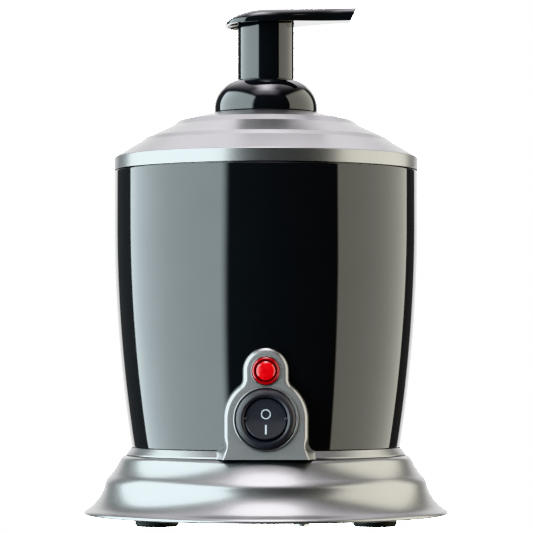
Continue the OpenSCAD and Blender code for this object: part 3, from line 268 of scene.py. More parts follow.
# %% Gloss black
def gloss_black():
    ripple_mm = 0.0016
    material, shader, place = new_finish(
        "gloss_black", IOR=1.52, Coat_Roughness=0.03, Coat_IOR=1.5)
    haze = grain(place, 16.0, 4.0)
    dust = contrast(grain(place, 0.7, 1.0), 0.66, 0.9)
    feed(shader,
         Base_Color=between(haze, (0.009, 0.009, 0.0096), (0.012, 0.012, 0.0126)),
         Roughness=0.045 + haze * 0.02 + dust * 0.05,
         Coat_Weight=0.25 + haze * 0.1,
         Normal=bump(grain(place, 7.0, 1.0), ripple_mm, 0.5))
    return material


# %% [markdown]
# ## Satin black, rubber and the other plastics
# The switch has a spark-eroded surface: an even grain about 0.16 mm across that scatters the
# light. Rubber is duller still. One recipe covers all moulded plastics, with the grain's size
# and depth as its parameters.

# %% Moulded plastics
def moulded(name, colour, roughness, grain_mm=0.25, depth_mm=0.006, spread=0.25):
    """A moulded plastic or rubber with an even surface grain and a slightly uneven colour."""
    material, shader, place = new_finish(name)
    fine, broad = grain(place, grain_mm, 2.0), grain(place, 12.0, 3.0)
    tone = contrast(fine * 0.45 + broad * 0.55, 0.25, 0.75)
    feed(shader,
         Base_Color=between(tone, shade_of(colour, 1 - spread), shade_of(colour, 1 + spread)),
         Roughness=roughness - 0.06 + fine * 0.08 + broad * 0.04,
         Normal=bump(fine, depth_mm, 0.6))
    return material


# %% [markdown]
# ## Metals inside
# The cup is spun aluminium, the screws are plated steel, the clamps are cut from rolled strip.
# All of them are metal whose surface was drawn or turned, so the light breaks into fine lines.

# %% Worked metals
def worked_metal(name, colour, roughness, line_mm=0.25, run_mm=30.0):
    """A turned, rolled or drawn metal with fine lines and slight stains."""
    material, shader, place = new_finish(name, Metallic=1.0)
    lines, stain = streaks(place, line_mm, run_mm), grain(place, 6.0, 4.0)
    feed(shader,
         Base_Color=between(contrast(stain, 0.3, 0.7), shade_of(colour, 0.86), colour),
         Roughness=roughness - 0.08 + lines * 0.12 + stain * 0.05,
         Normal=bump(lines, 0.004, 0.5))
    return material


# %% [markdown]
# ## Clear and red plastics
# The lamp's lens is red see-through plastic over a small bulb. It's lit, so the plastic glows
# from within, most where it's thickest in front of the bulb. The groove round the lens gets a
# darker colour, which is painted shade. The valve ball and the bulb are glass.

# %% Lens and glass
def glowing_red(name, colour, glow):
    """Red plastic lit from behind, bright in the lens; the groove round it has painted shade."""
    material, shader, place = new_finish(
        name, Roughness=0.16, IOR=1.49, Emission_Strength=glow, Coat_Weight=0.3,
        Coat_Roughness=0.08)
    flat = place.node("VectorMath", {"operation": "MULTIPLY"}, {0: place, 1: (1.0, 0.0, 1.0)})
    away = place.node("VectorMath", {"operation": "DISTANCE"}, {
        0: flat, 1: (0.0, 0.0, lamp_z * MM)}, "Value")
    lens = 1 - contrast_mm(away, lens_r - 0.25, lens_r)
    flange = contrast_mm(away, lens_groove_r, lens_groove_r + 0.15)
    cloud = contrast(grain(place, 1.6, 3.0), 0.3, 0.7)
    lit = lens * (0.75 + cloud * 0.25) + flange * 0.22
    # In the groove between the lens and the flange the base colour falls to 0.12 of the red:
    # painted shade.
    feed(shader,
         Base_Color=between(lens * 0.5 + flange * 0.5 + cloud * 0.1,
                            shade_of(colour, 0.12), colour),
         Emission_Color=between(lit, (0.02, 0.0, 0.0), (1.0, 0.001, 0.004)))
    return material


def clear_glass(name, colour):
    material, shader, place = new_finish(name, IOR=1.5, Transmission_Weight=0.9)
    cloud = grain(place, 2.0, 2.0)
    feed(shader,
         Base_Color=between(cloud, shade_of(colour, 0.92), colour),
         Roughness=0.04 + cloud * 0.03)
    return material


# %% Every finish, by the record's slot names
recipes = {
    "satin_black": (moulded, (0.035, 0.033, 0.038), 0.42, 0.16, 0.006, 0.15),
    "plate_black": (moulded, (0.012, 0.012, 0.013), 0.5, 0.3),
    "foot_rubber": (moulded, (0.010, 0.010, 0.010), 0.72, 0.35, 0.01),
    "screw_steel": (worked_metal, (0.62, 0.61, 0.58), 0.3, 0.15),
    "strip_steel": (worked_metal, (0.55, 0.55, 0.56), 0.35),
    "brass": (worked_metal, (0.72, 0.52, 0.22), 0.3, 0.2),
    "cup_aluminium": (worked_metal, (0.70, 0.70, 0.72), 0.32, 0.4, 60.0),
    "heater_silicone": (moulded, (0.32, 0.045, 0.02), 0.6, 1.2, 0.05),
    "block_nylon": (moulded, (0.66, 0.64, 0.56), 0.45),
    "fuse_ceramic": (moulded, (0.62, 0.60, 0.55), 0.35, 0.2, 0.004, 0.08),
    "thermostat_phenolic": (moulded, (0.030, 0.018, 0.012), 0.38),
    "red_lens": (glowing_red, (0.42, 0.003, 0.006), 0.52),
    "bulb_glass": (clear_glass, (1.0, 0.86, 0.74)),
    "wire_brown": (moulded, (0.13, 0.045, 0.018), 0.4, 0.5, 0.004, 0.1),
    "wire_blue": (moulded, (0.02, 0.09, 0.42), 0.4, 0.5, 0.004, 0.1),
    "wire_green": (moulded, (0.10, 0.36, 0.03), 0.4, 0.5, 0.004, 0.1),
    "wire_white": (moulded, (0.70, 0.70, 0.66), 0.4, 0.5, 0.004, 0.1),
    "mark_print": (moulded, (0.50, 0.57, 0.60), 0.5, 0.3, 0.002, 0.05),
    "seal_silicone": (moulded, (0.62, 0.58, 0.50), 0.5),
    "pump_white": (moulded, (0.66, 0.67, 0.68), 0.35, 0.4, 0.003, 0.05),
    "piston_white": (moulded, (0.72, 0.71, 0.68), 0.4, 0.4, 0.003, 0.05),
    "spring_steel": (worked_metal, (0.52, 0.52, 0.54), 0.25, 0.1, 2.0),
    "ball_glass": (clear_glass, (0.86, 0.92, 0.96)),
}
finishes = {"silver_paint": silver_paint(), "gloss_black": gloss_black()}
for name, (recipe, *values) in recipes.items():
    finishes[name] = recipe(name, *values)
print(len(finishes), "finishes")

# %% [markdown]
# ## Background
# The photograph is a cut-out: the background is pure white and takes no shadow, so no floor is
# needed. Only the camera sees that white. To everything else the room is nearly dark, so that
# nothing but the tent's walls shows in the gloss. The camera's response has a soft shoulder:
# bright silver keeps its shading instead of burning out.

# %% Background
background_white, room_grey = 24.0, 0.14
world = bpy.data.worlds.new("white_room")
bpy.context.scene.world = world
world.use_nodes = True
room = Socket(world.node_tree)
seen = room.node("LightPath", {}, {}, "Is Camera Ray")
surround = seen * (background_white - room_grey) + room_grey
world.node_tree.links.new(surround.socket, world.node_tree.nodes["Background"].inputs["Strength"])
world.node_tree.nodes["Background"].inputs["Color"].default_value = (1, 1, 1, 1)
bpy.context.scene.view_settings.view_transform = "Khronos PBR Neutral"
print("background made")

# %% [markdown]
# ## Turning, skinning and rounding
# Almost every part of this machine was turned or moulded round an axis. `add_turned` spins an
# outline about Z, `add_skin` stretches faces over rows of points, and `rounded` swaps a hard
# corner of an outline for a small curve, because every real edge has a radius that catches
# the light.

# %% Mesh helpers
TINY = 1e-6


def rounded(outline, steps=4):
    """An outline of (r, z) or (r, z, radius) points; a corner with a radius becomes a curve."""
    points = []
    count = len(outline)
    for index, corner in enumerate(outline):
        here = Vector(corner[:2])
        radius = corner[2] if len(corner) > 2 else 0
        if not radius:
            points.append(tuple(here))
            continue
        back = Vector(outline[index - 1][:2]) - here
        ahead = Vector(outline[(index + 1) % count][:2]) - here
        reach = min(radius / max(tan(back.angle(ahead) / 2), TINY),
                    back.length * 0.48, ahead.length * 0.48)
        start, end = here + back.normalized() * reach, here + ahead.normalized() * reach
        for step in range(steps + 1):
            t = step / steps
            points.append(tuple(start * (1 - t) ** 2 + here * 2 * t * (1 - t) + end * t * t))
    return points


def arc(centre_r, centre_z, radius, from_deg, to_deg, steps):
    turns = [radians(from_deg + (to_deg - from_deg) * i / steps) for i in range(steps + 1)]
    return [(centre_r + radius * cos(a), centre_z + radius * sin(a)) for a in turns]


def bezier(points, steps):
    """A cubic curve through the first and last of four points."""
    a, b, c, d = (Vector(p) for p in points)
    spots = [i / steps for i in range(steps + 1)]
    return [tuple(a * (1 - t) ** 3 + b * 3 * t * (1 - t) ** 2
                  + c * 3 * t * t * (1 - t) + d * t ** 3) for t in spots]


def add_face(mesh, corners):
    """A face over the corners that differ, if at least three do."""
    corners = list(dict.fromkeys(corners))
    if len(corners) > 2:
        mesh.faces.new(corners)


def add_turned(mesh, outline, steps=192, place=Matrix.Identity(4), start=0.0, sweep=360.0):
    """Spins a closed outline of (r, z) points about Z; a part sweep gets end faces."""
    whole = sweep > 359.9
    count = steps if whole else steps + 1
    angles = [radians(start + sweep * k / steps) for k in range(count)]
    rows = []
    for r, z in outline:
        if r < TINY:
            rows.append([mesh.verts.new(place @ Vector((0, 0, z)))] * count)
        else:
            rows.append([mesh.verts.new(place @ Vector((r * cos(a), r * sin(a), z)))
                         for a in angles])
    for index, row in enumerate(rows):
        above = rows[(index + 1) % len(rows)]
        for k in range(steps):
            side = (k + 1) % count
            add_face(mesh, [row[k], row[side], above[side], above[k]])
    if not whole:
        add_face(mesh, [row[0] for row in rows])
        add_face(mesh, [row[-1] for row in rows])


def add_skin(mesh, rows, closed=True, caps=False):
    """Faces over rows of points; closed joins each row's ends, caps close the two end rows."""
    grid = [[mesh.verts.new(Vector(p)) for p in row] for row in rows]
    across = len(grid[0]) if closed else len(grid[0]) - 1
    for row, above in zip(grid, grid[1:]):
        for k in range(across):
            side = (k + 1) % len(row)
            add_face(mesh, [row[k], row[side], above[side], above[k]])
    if caps:
        add_face(mesh, grid[0])
        add_face(mesh, grid[-1])
    return grid


def to_object(name, mesh):
    """Turns mesh work in millimetres into an object in metres, its faces pointing out."""
    bmesh.ops.recalc_face_normals(mesh, faces=mesh.faces)
    bmesh.ops.scale(mesh, vec=(MM, MM, MM), verts=mesh.verts)
    data = bpy.data.meshes.new(name)
    mesh.to_mesh(data)
    mesh.free()
    made = bpy.data.objects.new(name, data)
    bpy.context.scene.collection.objects.link(made)
    return made


def turned(name, outline, steps=192, place=Matrix.Identity(4)):
    mesh = bmesh.new()
    add_turned(mesh, outline, steps, place)
    return to_object(name, mesh)


def combine(body, tool, operation="DIFFERENCE"):
    """Cuts tool out of body, or joins it on, and deletes the tool."""
    step = body.modifiers.new("combine", "BOOLEAN")
    step.operation, step.solver, step.object = operation, "EXACT", tool
    graph = bpy.context.evaluated_depsgraph_get()
    result = bpy.data.meshes.new_from_object(body.evaluated_get(graph))
    body.modifiers.clear()
    body.data = result
    bpy.data.objects.remove(tool)
    return body


slots = {part["node"]: part["material_slot"] for part in frame["record"]["subparts"]}


def finished(piece, body, slot, *nodes, crease=32, edge_mm=0.0):
    """Smooths a piece, rounds its last sharp edges, and puts it in the place of its node."""
    if edge_mm:
        softened = piece.modifiers.new("edges", "BEVEL")
        softened.width, softened.segments = edge_mm * MM, 2
        softened.limit_method, softened.angle_limit = "ANGLE", radians(40)
        softened.use_clamp_overlap = True
    piece.data.shade_smooth()
    piece.data.set_sharp_from_angle(angle=radians(crease))
    even = piece.modifiers.new("even shading", "WEIGHTED_NORMAL")
    even.keep_sharp = True
    piece.data.materials.clear()
    piece.data.materials.append(finishes[slot])
    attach(piece, body)
    if nodes:
        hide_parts(*nodes)
    print(piece.name, len(piece.data.polygons), "faces")
    return piece


def at_angle(turn, r, z):
    """A place at radius r and height z, turned about the machine's axis."""
    return Matrix.Rotation(radians(turn), 4, "Z") @ Matrix.Translation((r, 0, z))


def facing(z, y):
    """Turns a shape drawn upwards so that it points at the camera from a depth y in front."""
    return Matrix.Translation((0, -y, z)) @ Matrix.Rotation(radians(90), 4, "X")


# %% [markdown]
# ## The stand
# The stand is a moulded skirt: a soft shoulder, a hollow, a bead, a longer hollow and a lip
# that floats just above the floor. Each swell and hollow is a cubic curve, so the paint's
# reflections run smoothly from one to the next.

# %% Stand
base_r, bead_r, shoulder_r = 68.0, 60.1, 54.6
base_h, bead_z, lip_gap, lip_rise = 24.4, 14.1, 1.4, 1.0
base_wall, ledge_t, ledge_open_r = 2.6, 2.4, 39.5
shell_foot_r, shell_r = 50.3, 57.0
foot_r, foot_at_r, foot_h, foot_plug_r = 8.0, 55.5, 2.1, 2.9
plate_top = 4.2
screw_r, boss_r, ledge_hole_at_r = 1.4, 3.6, 43.4
plate_boss_at_r, plate_boss_angles = 49.0, (15, 105, 195, 285)
corner_angles = (45, 135, 225, 315)
gland_z, gland_pad_y, gland_pad_r = 12.0, bead_r + 2.4, 8.5
gland_body_r, gland_flange_r, gland_flange_t, gland_bore_r = 5.0, 7.0, 2.5, 3.5
gland_pad_t = 7.5


def skirt_outside():
    """The stand's outer outline, from its top face down to the lip."""
    low, edge = lip_gap + 3.95, lip_gap + lip_rise
    return (
        bezier([(shell_foot_r + 2.3, base_h), (shoulder_r - 1.0, base_h - 0.1),
                (shoulder_r - 0.3, base_h - 0.9), (shoulder_r, base_h - 1.7)], 10)
        + bezier([(shoulder_r, base_h - 1.7), (shoulder_r + 0.8, base_h - 3.4),
                  (bead_r - 3.7, bead_z + 5.1), (bead_r - 2.1, bead_z + 3.2)], 14)[1:]
        + bezier([(bead_r - 2.1, bead_z + 3.2), (bead_r - 1.0, bead_z + 2.1),
                  (bead_r - 0.2, bead_z + 1.1), (bead_r, bead_z)], 10)[1:]
        + bezier([(bead_r, bead_z), (bead_r + 0.5, bead_z - 2.9),
                  (base_r - 5.6, lip_gap + 6.6), (base_r - 2.6, low)], 16)[1:]
        + bezier([(base_r - 2.6, low), (base_r - 1.1, lip_gap + 2.8),
                  (base_r, lip_gap + 2.4), (base_r, edge + 0.6)], 10)[1:]
        + bezier([(base_r, edge + 0.6), (base_r, edge + 0.3),
                  (base_r - 0.4, edge), (base_r - 0.8, edge)], 4)[1:])


def rod(radius, length, place, steps=48):
    """A plain round tool or boss from the place's origin along its Z."""
    mesh = bmesh.new()
    add_turned(mesh, [(0, 0), (radius, 0), (radius, length), (0, length)], steps, place)
    return to_object("rod", mesh)


def stand():
    """The skirt with its gland pad, the gland's two cuts, the ledge's holes and the bosses."""
    outside = skirt_outside()
    ledge_under = base_h - ledge_t
    inside = [(r - base_wall, z) for r, z in reversed(outside) if z < ledge_under - 0.4]
    outline = ([(ledge_open_r, base_h)] + outside + inside
               + [(inside[-1][0], ledge_under), (ledge_open_r, ledge_under)])
    skirt = turned("stand_skirt", outline, 256)
    inward = Matrix.Translation((0, gland_pad_y, gland_z)) @ Matrix.Rotation(radians(90), 4, "X")
    combine(skirt, rod(gland_pad_r, gland_pad_t, inward, 96), "UNION")
    for radius, before, length, steps in ((gland_flange_r + 0.2, 20, 20, 96),
                                          (gland_body_r + 0.1, 10, 30, 64)):
        combine(skirt, rod(radius, length, Matrix.Translation((0, before, 0)) @ inward, steps))
    for turn in corner_angles:
        at = at_angle(turn, ledge_hole_at_r, ledge_under - 1)
        combine(skirt, rod(screw_r + 0.2, ledge_t + 2, at))
    for turn in plate_boss_angles:
        at = at_angle(turn, plate_boss_at_r, plate_top + 0.1)
        boss = rod(boss_r, ledge_under - plate_top + 0.9, at)
        combine(boss, rod(screw_r + 0.1, 9.9, at @ Matrix.Translation((0, 0, -1))))
        combine(skirt, boss, "UNION")
    return finished(skirt, "machine", "silver_paint", "base_skirt", edge_mm=0.12)


stand()

# %% [markdown]
# ## Feet and cord inlet
# Four rubber feet plug into the base plate, with a rounded tread so that they don't lift at
# the edge. At the back a rubber gland lines the hole for the mains cord. The cord itself isn't
# part of this model.

# %% Feet and gland
def feet():
    outline = rounded([
        (0, 0), (foot_r - 0.8, 0, 0.5), (foot_r, 0.8, 0.5), (foot_r, foot_h, 0.25),
        (foot_plug_r, foot_h), (foot_plug_r, plate_top + 0.6, 0.3),
        (foot_plug_r - 0.6, plate_top + 1.2, 0.2), (0, plate_top + 1.2)])
    mesh = bmesh.new()
    for turn in corner_angles:
        add_turned(mesh, outline, 72, at_angle(turn, foot_at_r, 0))
    return finished(to_object("feet", mesh), "machine", "foot_rubber", "rubber_feet")


def gland():
    flange, inner_end = gland_flange_t, -8.1
    outline = rounded([
        (gland_bore_r, inner_end, 0.2), (gland_body_r, inner_end, 0.4), (gland_body_r, 0.1),
        (gland_flange_r, 0.1, 0.1), (gland_flange_r, flange - 0.6, 0.4),
        (gland_flange_r - 0.6, flange, 0.4), (gland_bore_r + 0.9, flange, 0.3),
        (gland_bore_r, flange - 0.9, 0.3)])
    outward = Matrix.Translation((0, gland_pad_y, gland_z)) @ Matrix.Rotation(radians(-90), 4, "X")
    return finished(turned("gland", outline, 96, outward), "machine", "foot_rubber", "cord_gland")


feet()
gland()

# %% [markdown]
# ## The barrel
# The barrel is a straight band below the lid that leaves it as one long arc down to the stand.
# Its outline has a point about every 2 mm, close enough that the upright reflections stay
# clean lines.

# %% Barrel
shell_wall, shell_top, shell_bend_z = 2.2, 130.4, 112.0
shell_z = base_h + 0.1
ring_h, ring_flare = 3.0, 1.9
shell_drop = shell_bend_z - base_h - ring_h
shell_arc_r = (shell_drop ** 2 + (shell_r - shell_foot_r) ** 2) / (2 * (shell_r - shell_foot_r))
hoop_r = shell_foot_r - 2.1
hoop_in_r = hoop_r - shell_wall
tray_ledge_z, tray_ledge_w, tray_ledge_h = 121.8, 2.6, 2.0


def barrel_r(z):
    """The barrel's outer radius at a height."""
    if z > shell_bend_z:
        return shell_r
    return shell_r - shell_arc_r * (1 - cos(asin((shell_bend_z - z) / shell_arc_r)))


def barrel():
    rabbet_z = shell_z + ring_h
    in_r = shell_r - shell_wall
    levels = [shell_bend_z - (shell_bend_z - rabbet_z) * i / 40 for i in range(41)]
    side = [(barrel_r(z), z) for z in levels]
    side[-1] = (shell_foot_r, rabbet_z, 0.3)
    inner = [(barrel_r(z) - shell_wall, z) for z in reversed(levels) if z > rabbet_z + 6]
    outline = rounded(
        [(in_r, shell_top, 0.25), (shell_r, shell_top, 0.35)] + side
        + [(hoop_r, rabbet_z), (hoop_r, shell_z), (hoop_in_r, shell_z), (hoop_in_r, shell_z + 6.5)]
        + inner
        + [(in_r, tray_ledge_z - tray_ledge_w), (in_r - tray_ledge_w, tray_ledge_z),
           (in_r - tray_ledge_w, tray_ledge_z + tray_ledge_h, 0.2),
           (in_r, tray_ledge_z + tray_ledge_h)])
    return turned("barrel", outline, 320)


# %% [markdown]
# ## The trim ring and its keyhole panel
# The trim is one moulding: a low slanted ring round the barrel's foot that rises at the front
# into a keyhole-shaped panel. Its side wall isn't a plain step. Along the keyhole it rolls over
# a round edge, and where it lands on the ring it sweeps out in a hollow. So each point of the
# outline gets its own section, from the flat face out to the barrel, and the mesh is a skin
# over those sections.

# %% Panel outline
switch_z = 38.9
panel_r, panel_tab_r, panel_t = 15.3, 8.3, 2.4
panel_band, foot_sweep, face_sweep, sweep_top = 2.0, 3.4, 1.7, 31.0
bezel_r, switch_body_r, lamp_flange_r, lamp_r = 11.0, 9.9, 4.85, 3.95
ring_top = shell_z + ring_h - 0.1


def keyhole(inset):
    """Half of the keyhole's outline above the switch's centre, from its side to its top."""
    big, small, neck = panel_r - inset, panel_tab_r - inset, 3.0 + inset
    neck_z = switch_z + sqrt((big + neck) ** 2 - (small + neck) ** 2)
    meet = degrees(atan2(neck_z - switch_z, small + neck))
    return (arc(0, switch_z, big, 0, meet, 30)
            + arc(small + neck, neck_z, neck, 180 + meet, 180, 12)[1:]
            + arc(0, lamp_z, small, 0, 90, 24))


def panel_sides():
    """Matching points of the outer and the face outline, with how far each is in the sweep."""
    pairs = []
    for step in range(25):
        z = shell_z + (switch_z - shell_z) * (step / 25) ** 1.25
        near = max(0.0, (ring_top + foot_sweep - z) / foot_sweep)
        out = foot_sweep * (1 - sqrt(max(0.0, 1 - min(near, 1) ** 2)))
        drop = max(0.0, (sweep_top - z) / (sweep_top - shell_z))
        hollow = min(1.0, max(0.0, (sweep_top + 1.5 - z) / 5.0))
        hollow = hollow * hollow * (3 - 2 * hollow)
        face_edge = panel_r - panel_band + face_sweep * drop ** 2
        pairs.append(((panel_r + out, z), (face_edge, z), hollow))
    for outer, inner in zip(keyhole(0), keyhole(panel_band)):
        pairs.append((outer, inner, 0.0))
    return pairs


def trim_surface_y(x, z):
    """Depth of the surface that the panel lands on, the ring's or the barrel's."""
    share = min(1.0, max(0.0, (z - shell_z) / ring_h))
    r = barrel_r(z) if z > ring_top else shell_foot_r + ring_flare * (1 - share)
    return -sqrt(r * r - x * x)


def panel_section(outer, inner, hollow, steps=12):
    """Points from the face out to the barrel and back inside, for one place on the outline."""
    ox, oz = outer
    ix, iz = inner
    land = trim_surface_y(ox, oz) + 0.35
    deep = panel_y + land
    plain = [(0.0, 0.0), (0.66, 0.0), (1.0, min(1.5, deep * 0.75)), (1.0, deep)]
    swept = [(0.0, 0.0), (0.26, 0.0), (0.36, deep * 0.85), (1.0, deep)]
    shape = [(a[0] + (b[0] - a[0]) * hollow, a[1] + (b[1] - a[1]) * hollow)
             for a, b in zip(plain, swept)]
    points = [(ix + (ox - ix) * s, -panel_y + d, iz + (oz - iz) * s)
              for s, d in bezier(shape, steps)]
    back = -panel_y + panel_t
    wall = 1.6 / max((Vector(outer) - Vector(inner)).length, TINY)
    points.append((ox + (ix - ox) * wall, max(land, back), oz + (iz - oz) * wall))
    points.append((ix * 0.97, back, iz if iz < switch_z else switch_z + (iz - switch_z) * 0.97))
    return points


# %% Trim
def add_lip(mesh, z, radius, width, height):
    """A small raised rim round a hole in the panel."""
    sunk, edge = -0.3, width * 0.5
    outline = rounded([(radius, sunk), (radius + width, sunk), (radius + width, height, edge),
                       (radius, height, edge)])
    add_turned(mesh, outline, 128, facing(z, panel_y))


def edge_between(mesh, a, b):
    return mesh.edges.get((a, b)) or mesh.edges.new((a, b))


def add_panel(mesh):
    """The panel's skin, its flat front and back with their two holes, and its foot."""
    half = panel_sides()
    mirrored = [tuple((-x, z) for x, z in pair[:2]) + (pair[2],) for pair in reversed(half[:-1])]
    rows = [panel_section(*pair) for pair in half + mirrored]
    grid = add_skin(mesh, rows, closed=False)
    holes = ((switch_z, switch_body_r + 0.2), (lamp_z, lamp_r + 0.1))
    turns = [2 * pi * k / 96 for k in range(96)]
    rims = []
    for depth, column in ((-panel_y, 0), (-panel_y + panel_t, -1)):
        edges = [edge_between(mesh, a[column], b[column]) for a, b in zip(grid, grid[1:])]
        edges.append(mesh.edges.new((grid[-1][column], grid[0][column])))
        for z, radius in holes:
            ring = [mesh.verts.new((radius * cos(a), depth, z + radius * sin(a))) for a in turns]
            rims.append(ring)
            edges += [mesh.edges.new((ring[k - 1], ring[k])) for k in range(len(ring))]
        bmesh.ops.triangle_fill(mesh, edges=edges, use_beauty=True, normal=(0, -1, 0))
    for front, back in ((rims[0], rims[2]), (rims[1], rims[3])):
        for k in range(len(front)):
            add_face(mesh, [front[k - 1], front[k], back[k], back[k - 1]])
    first, last = grid[0], grid[-1]
    for column in range(len(first) - 1):
        add_face(mesh, [first[column], first[column + 1], last[column + 1], last[column]])


def trim():
    mesh = bmesh.new()
    ring_outline = rounded([
        (hoop_r + 0.2, shell_z), (shell_foot_r + ring_flare, shell_z, 0.2),
        (shell_foot_r + ring_flare, shell_z + 0.5, 0.3), (shell_foot_r + 0.2, ring_top, 0.25),
        (hoop_r + 0.2, ring_top)])
    gap = degrees(asin((panel_r + 1.2) / shell_foot_r))
    add_turned(mesh, ring_outline, 256, start=-90 + gap, sweep=360 - 2 * gap)
    add_panel(mesh)
    add_lip(mesh, switch_z, bezel_r - 0.2, width=0.8, height=0.75)
    add_lip(mesh, lamp_z, lamp_flange_r + 0.06, width=0.42, height=0.4)
    return finished(to_object("trim", mesh), "machine", "silver_paint", "control_ring", crease=40)


def window():
    """The opening in the barrel behind the panel."""
    half_w, low_z, front_y, back_y = 12.3, switch_z - 10.7, -60, -36
    mesh = bmesh.new()
    half = [(x * 0.8, z) for x, z in keyhole(0)]
    outline = [(0, low_z), (half_w, low_z)] + half
    outline += [(-x, z) for x, z in reversed(half[:-1])] + [(-half_w, low_z)]
    add_skin(mesh, [[(x, y, z) for x, z in outline] for y in (front_y, back_y)], caps=True)
    return to_object("window", mesh)


body = barrel()
combine(body, window())
finished(body, "machine", "gloss_black", "main_shell")
trim()

# %% [markdown]
# ## The switch
# A round rocker switch snaps into the panel. Its bezel is a shallow rolled ring of fine-grained
# black plastic. The rocker is a slice of a ball with a shallow V across its face, turned about
# two pins, so at rest its upper end is sunk and its lower end stands proud. The marks are a
# ring for off and a bar for on, printed in pale grey.

# %% Switch
bezel_h, bezel_open_r, switch_depth = 2.0, 7.7, 20.0
rocker_r, rocker_swing, pivot_r = 7.5, 18.0, 1.0
pivot_y = panel_y + bezel_h - 1.6
pin_at_x, pin_len = 6.6, 2.2


def bezel():
    """The bezel with its collar, and behind them the closed body."""
    out_r, collar_end, body_end = bezel_r - 0.25, -5.8, -5.9
    outline = rounded([
        (bezel_open_r, collar_end), (switch_body_r, collar_end), (switch_body_r, 0.1),
        (out_r, 0.1, 0.1), (out_r, 0.7, 0.5), (bezel_r - 1.2, bezel_h - 0.35, 0.9),
        (bezel_open_r + 1.0, bezel_h + 0.1, 0.7), (bezel_open_r, bezel_h - 0.5, 0.4)], 6)
    mesh = bmesh.new()
    add_turned(mesh, outline, 160, facing(switch_z, panel_y))
    back = rounded([(0, body_end), (0, -switch_depth), (switch_body_r, -switch_depth, 0.5),
                    (switch_body_r, body_end)])
    add_turned(mesh, back, 96, facing(switch_z, panel_y))
    return finished(to_object("switch_bezel", mesh), "machine", "satin_black",
                    "switch_housing", edge_mm=0.05)


def rocker_face(z):
    """Depth in front of the pivot of the face, a V with a rounded bottom, at a height."""
    return 0.6 + 1.1 * (sqrt(z * z + 0.6) - 0.77) / rocker_r


def tipped(x, depth, z):
    """A point of the rocker drawn level, at its rest tilt about its pins."""
    c, s = cos(radians(rocker_swing / 2)), sin(radians(rocker_swing / 2))
    return (x, -pivot_y - depth * c + z * s, switch_z + z * c + depth * s)


def rocker_edge(angle):
    """Distance from the pivot's axis at which the face meets the ball."""
    reach = rocker_r
    for _ in range(20):
        reach = sqrt(rocker_r ** 2 - rocker_face(reach * sin(angle)) ** 2)
    return reach


def rocker():
    """Rings of points from the face's middle to its edge, then round the ball to its back."""
    face_rings, ball_rings, back = 14, 12, -2.4
    around = [2 * pi * k / 128 for k in range(128)]
    edges = [rocker_edge(a) for a in around]
    rows = []
    for step in range(1, face_rings + 1):
        share = step / face_rings
        rows.append([tipped(e * share * cos(a), rocker_face(e * share * sin(a)), e * share * sin(a))
                     for a, e in zip(around, edges)])
    for step in range(1, ball_rings + 1):
        row = []
        for a, e in zip(around, edges):
            lip = rocker_face(e * sin(a))
            depth = lip + (back - lip) * step / ball_rings
            reach = sqrt(max(rocker_r ** 2 - depth ** 2, 0))
            row.append(tipped(reach * cos(a), depth, reach * sin(a)))
        rows.append(row)
    mesh = bmesh.new()
    grid = add_skin(mesh, rows)
    middle = mesh.verts.new(tipped(0, rocker_face(0), 0))
    for k in range(len(around)):
        add_face(mesh, [middle, grid[0][k - 1], grid[0][k]])
    add_face(mesh, grid[-1])
    for side in (-1, 1):
        pin = (Matrix.Translation((side * pin_at_x, -pivot_y, switch_z))
               @ Matrix.Rotation(radians(90 * side), 4, "Y"))
        add_turned(mesh, [(0, 0), (pivot_r, 0), (pivot_r, pin_len), (0, pin_len)], 32, pin)
    return finished(to_object("rocker", mesh), "rocker", "satin_black", "switch_rocker",
                    edge_mm=0.25)


def add_mark(mesh, outline, closed):
    """A printed line that follows the rocker's face; outline gives its two edges."""
    sunk, proud = -0.05, 0.03
    rows = [[tipped(x, rocker_face(z) + lift, z) for x, z in edge] for edge, lift in
            ((outline[0], sunk), (outline[0], proud), (outline[1], proud), (outline[1], sunk))]
    add_skin(mesh, rows, closed=closed)


def marks():
    mesh = bmesh.new()
    ring_at, ring_out, ring_in = 1.72, 1.76, 1.38
    turns = [2 * pi * k / 64 for k in range(64)]
    add_mark(mesh, [[(r * cos(a), ring_at + r * sin(a)) for a in turns]
                    for r in (ring_in, ring_out)], True)
    bar_low, bar_high, bar_half = -5.55, -2.1, 0.29
    levels = [bar_low + (bar_high - bar_low) * k / 12 for k in range(13)]
    add_mark(mesh, [[(side * bar_half, z) for z in levels] for side in (-1, 1)], False)
    return finished(to_object("switch_marks", mesh), "rocker", "mark_print")


bezel()
rocker()
marks()

# %% [markdown]
# ## The pilot lamp
# The lamp is a small barrel with a red cap: a flat flange against the panel, a groove and a
# domed lens in the middle. The groove's darkness is painted shade in the cap's finish.

# %% Lamp
def lamp():
    outline = rounded([
        (0, -0.9), (lens_r - 0.5, -0.9), (lens_r - 0.5, 0.1), (lamp_flange_r, 0.1, 0.05),
        (lamp_flange_r, 0.7, 0.4), (lamp_flange_r - 0.5, 1.15, 0.35), (lens_r + 0.55, 1.0, 0.2),
        (lens_r + 0.4, 0.4), (lens_r, 0.4), (lens_r, 1.5, 0.3), (lens_r - 0.7, 2.15, 0.6),
        (lens_r - 1.9, 2.45, 0.8), (0, 2.6)], 5)
    cap = turned("lamp_cap", outline, 128, facing(lamp_z, panel_y))
    return finished(cap, "machine", "red_lens", "lamp_lens")


lamp()

# %% [markdown]
# ## The lid
# The lid is stepped: an upright band, then three slopes that end in a seat for the pump. The
# steps between the slopes are small risers whose rounded edges show as bright lines. Below the
# band a plain rim pushes into the barrel, and in the middle stands the neck, with the ridge of
# its thread.

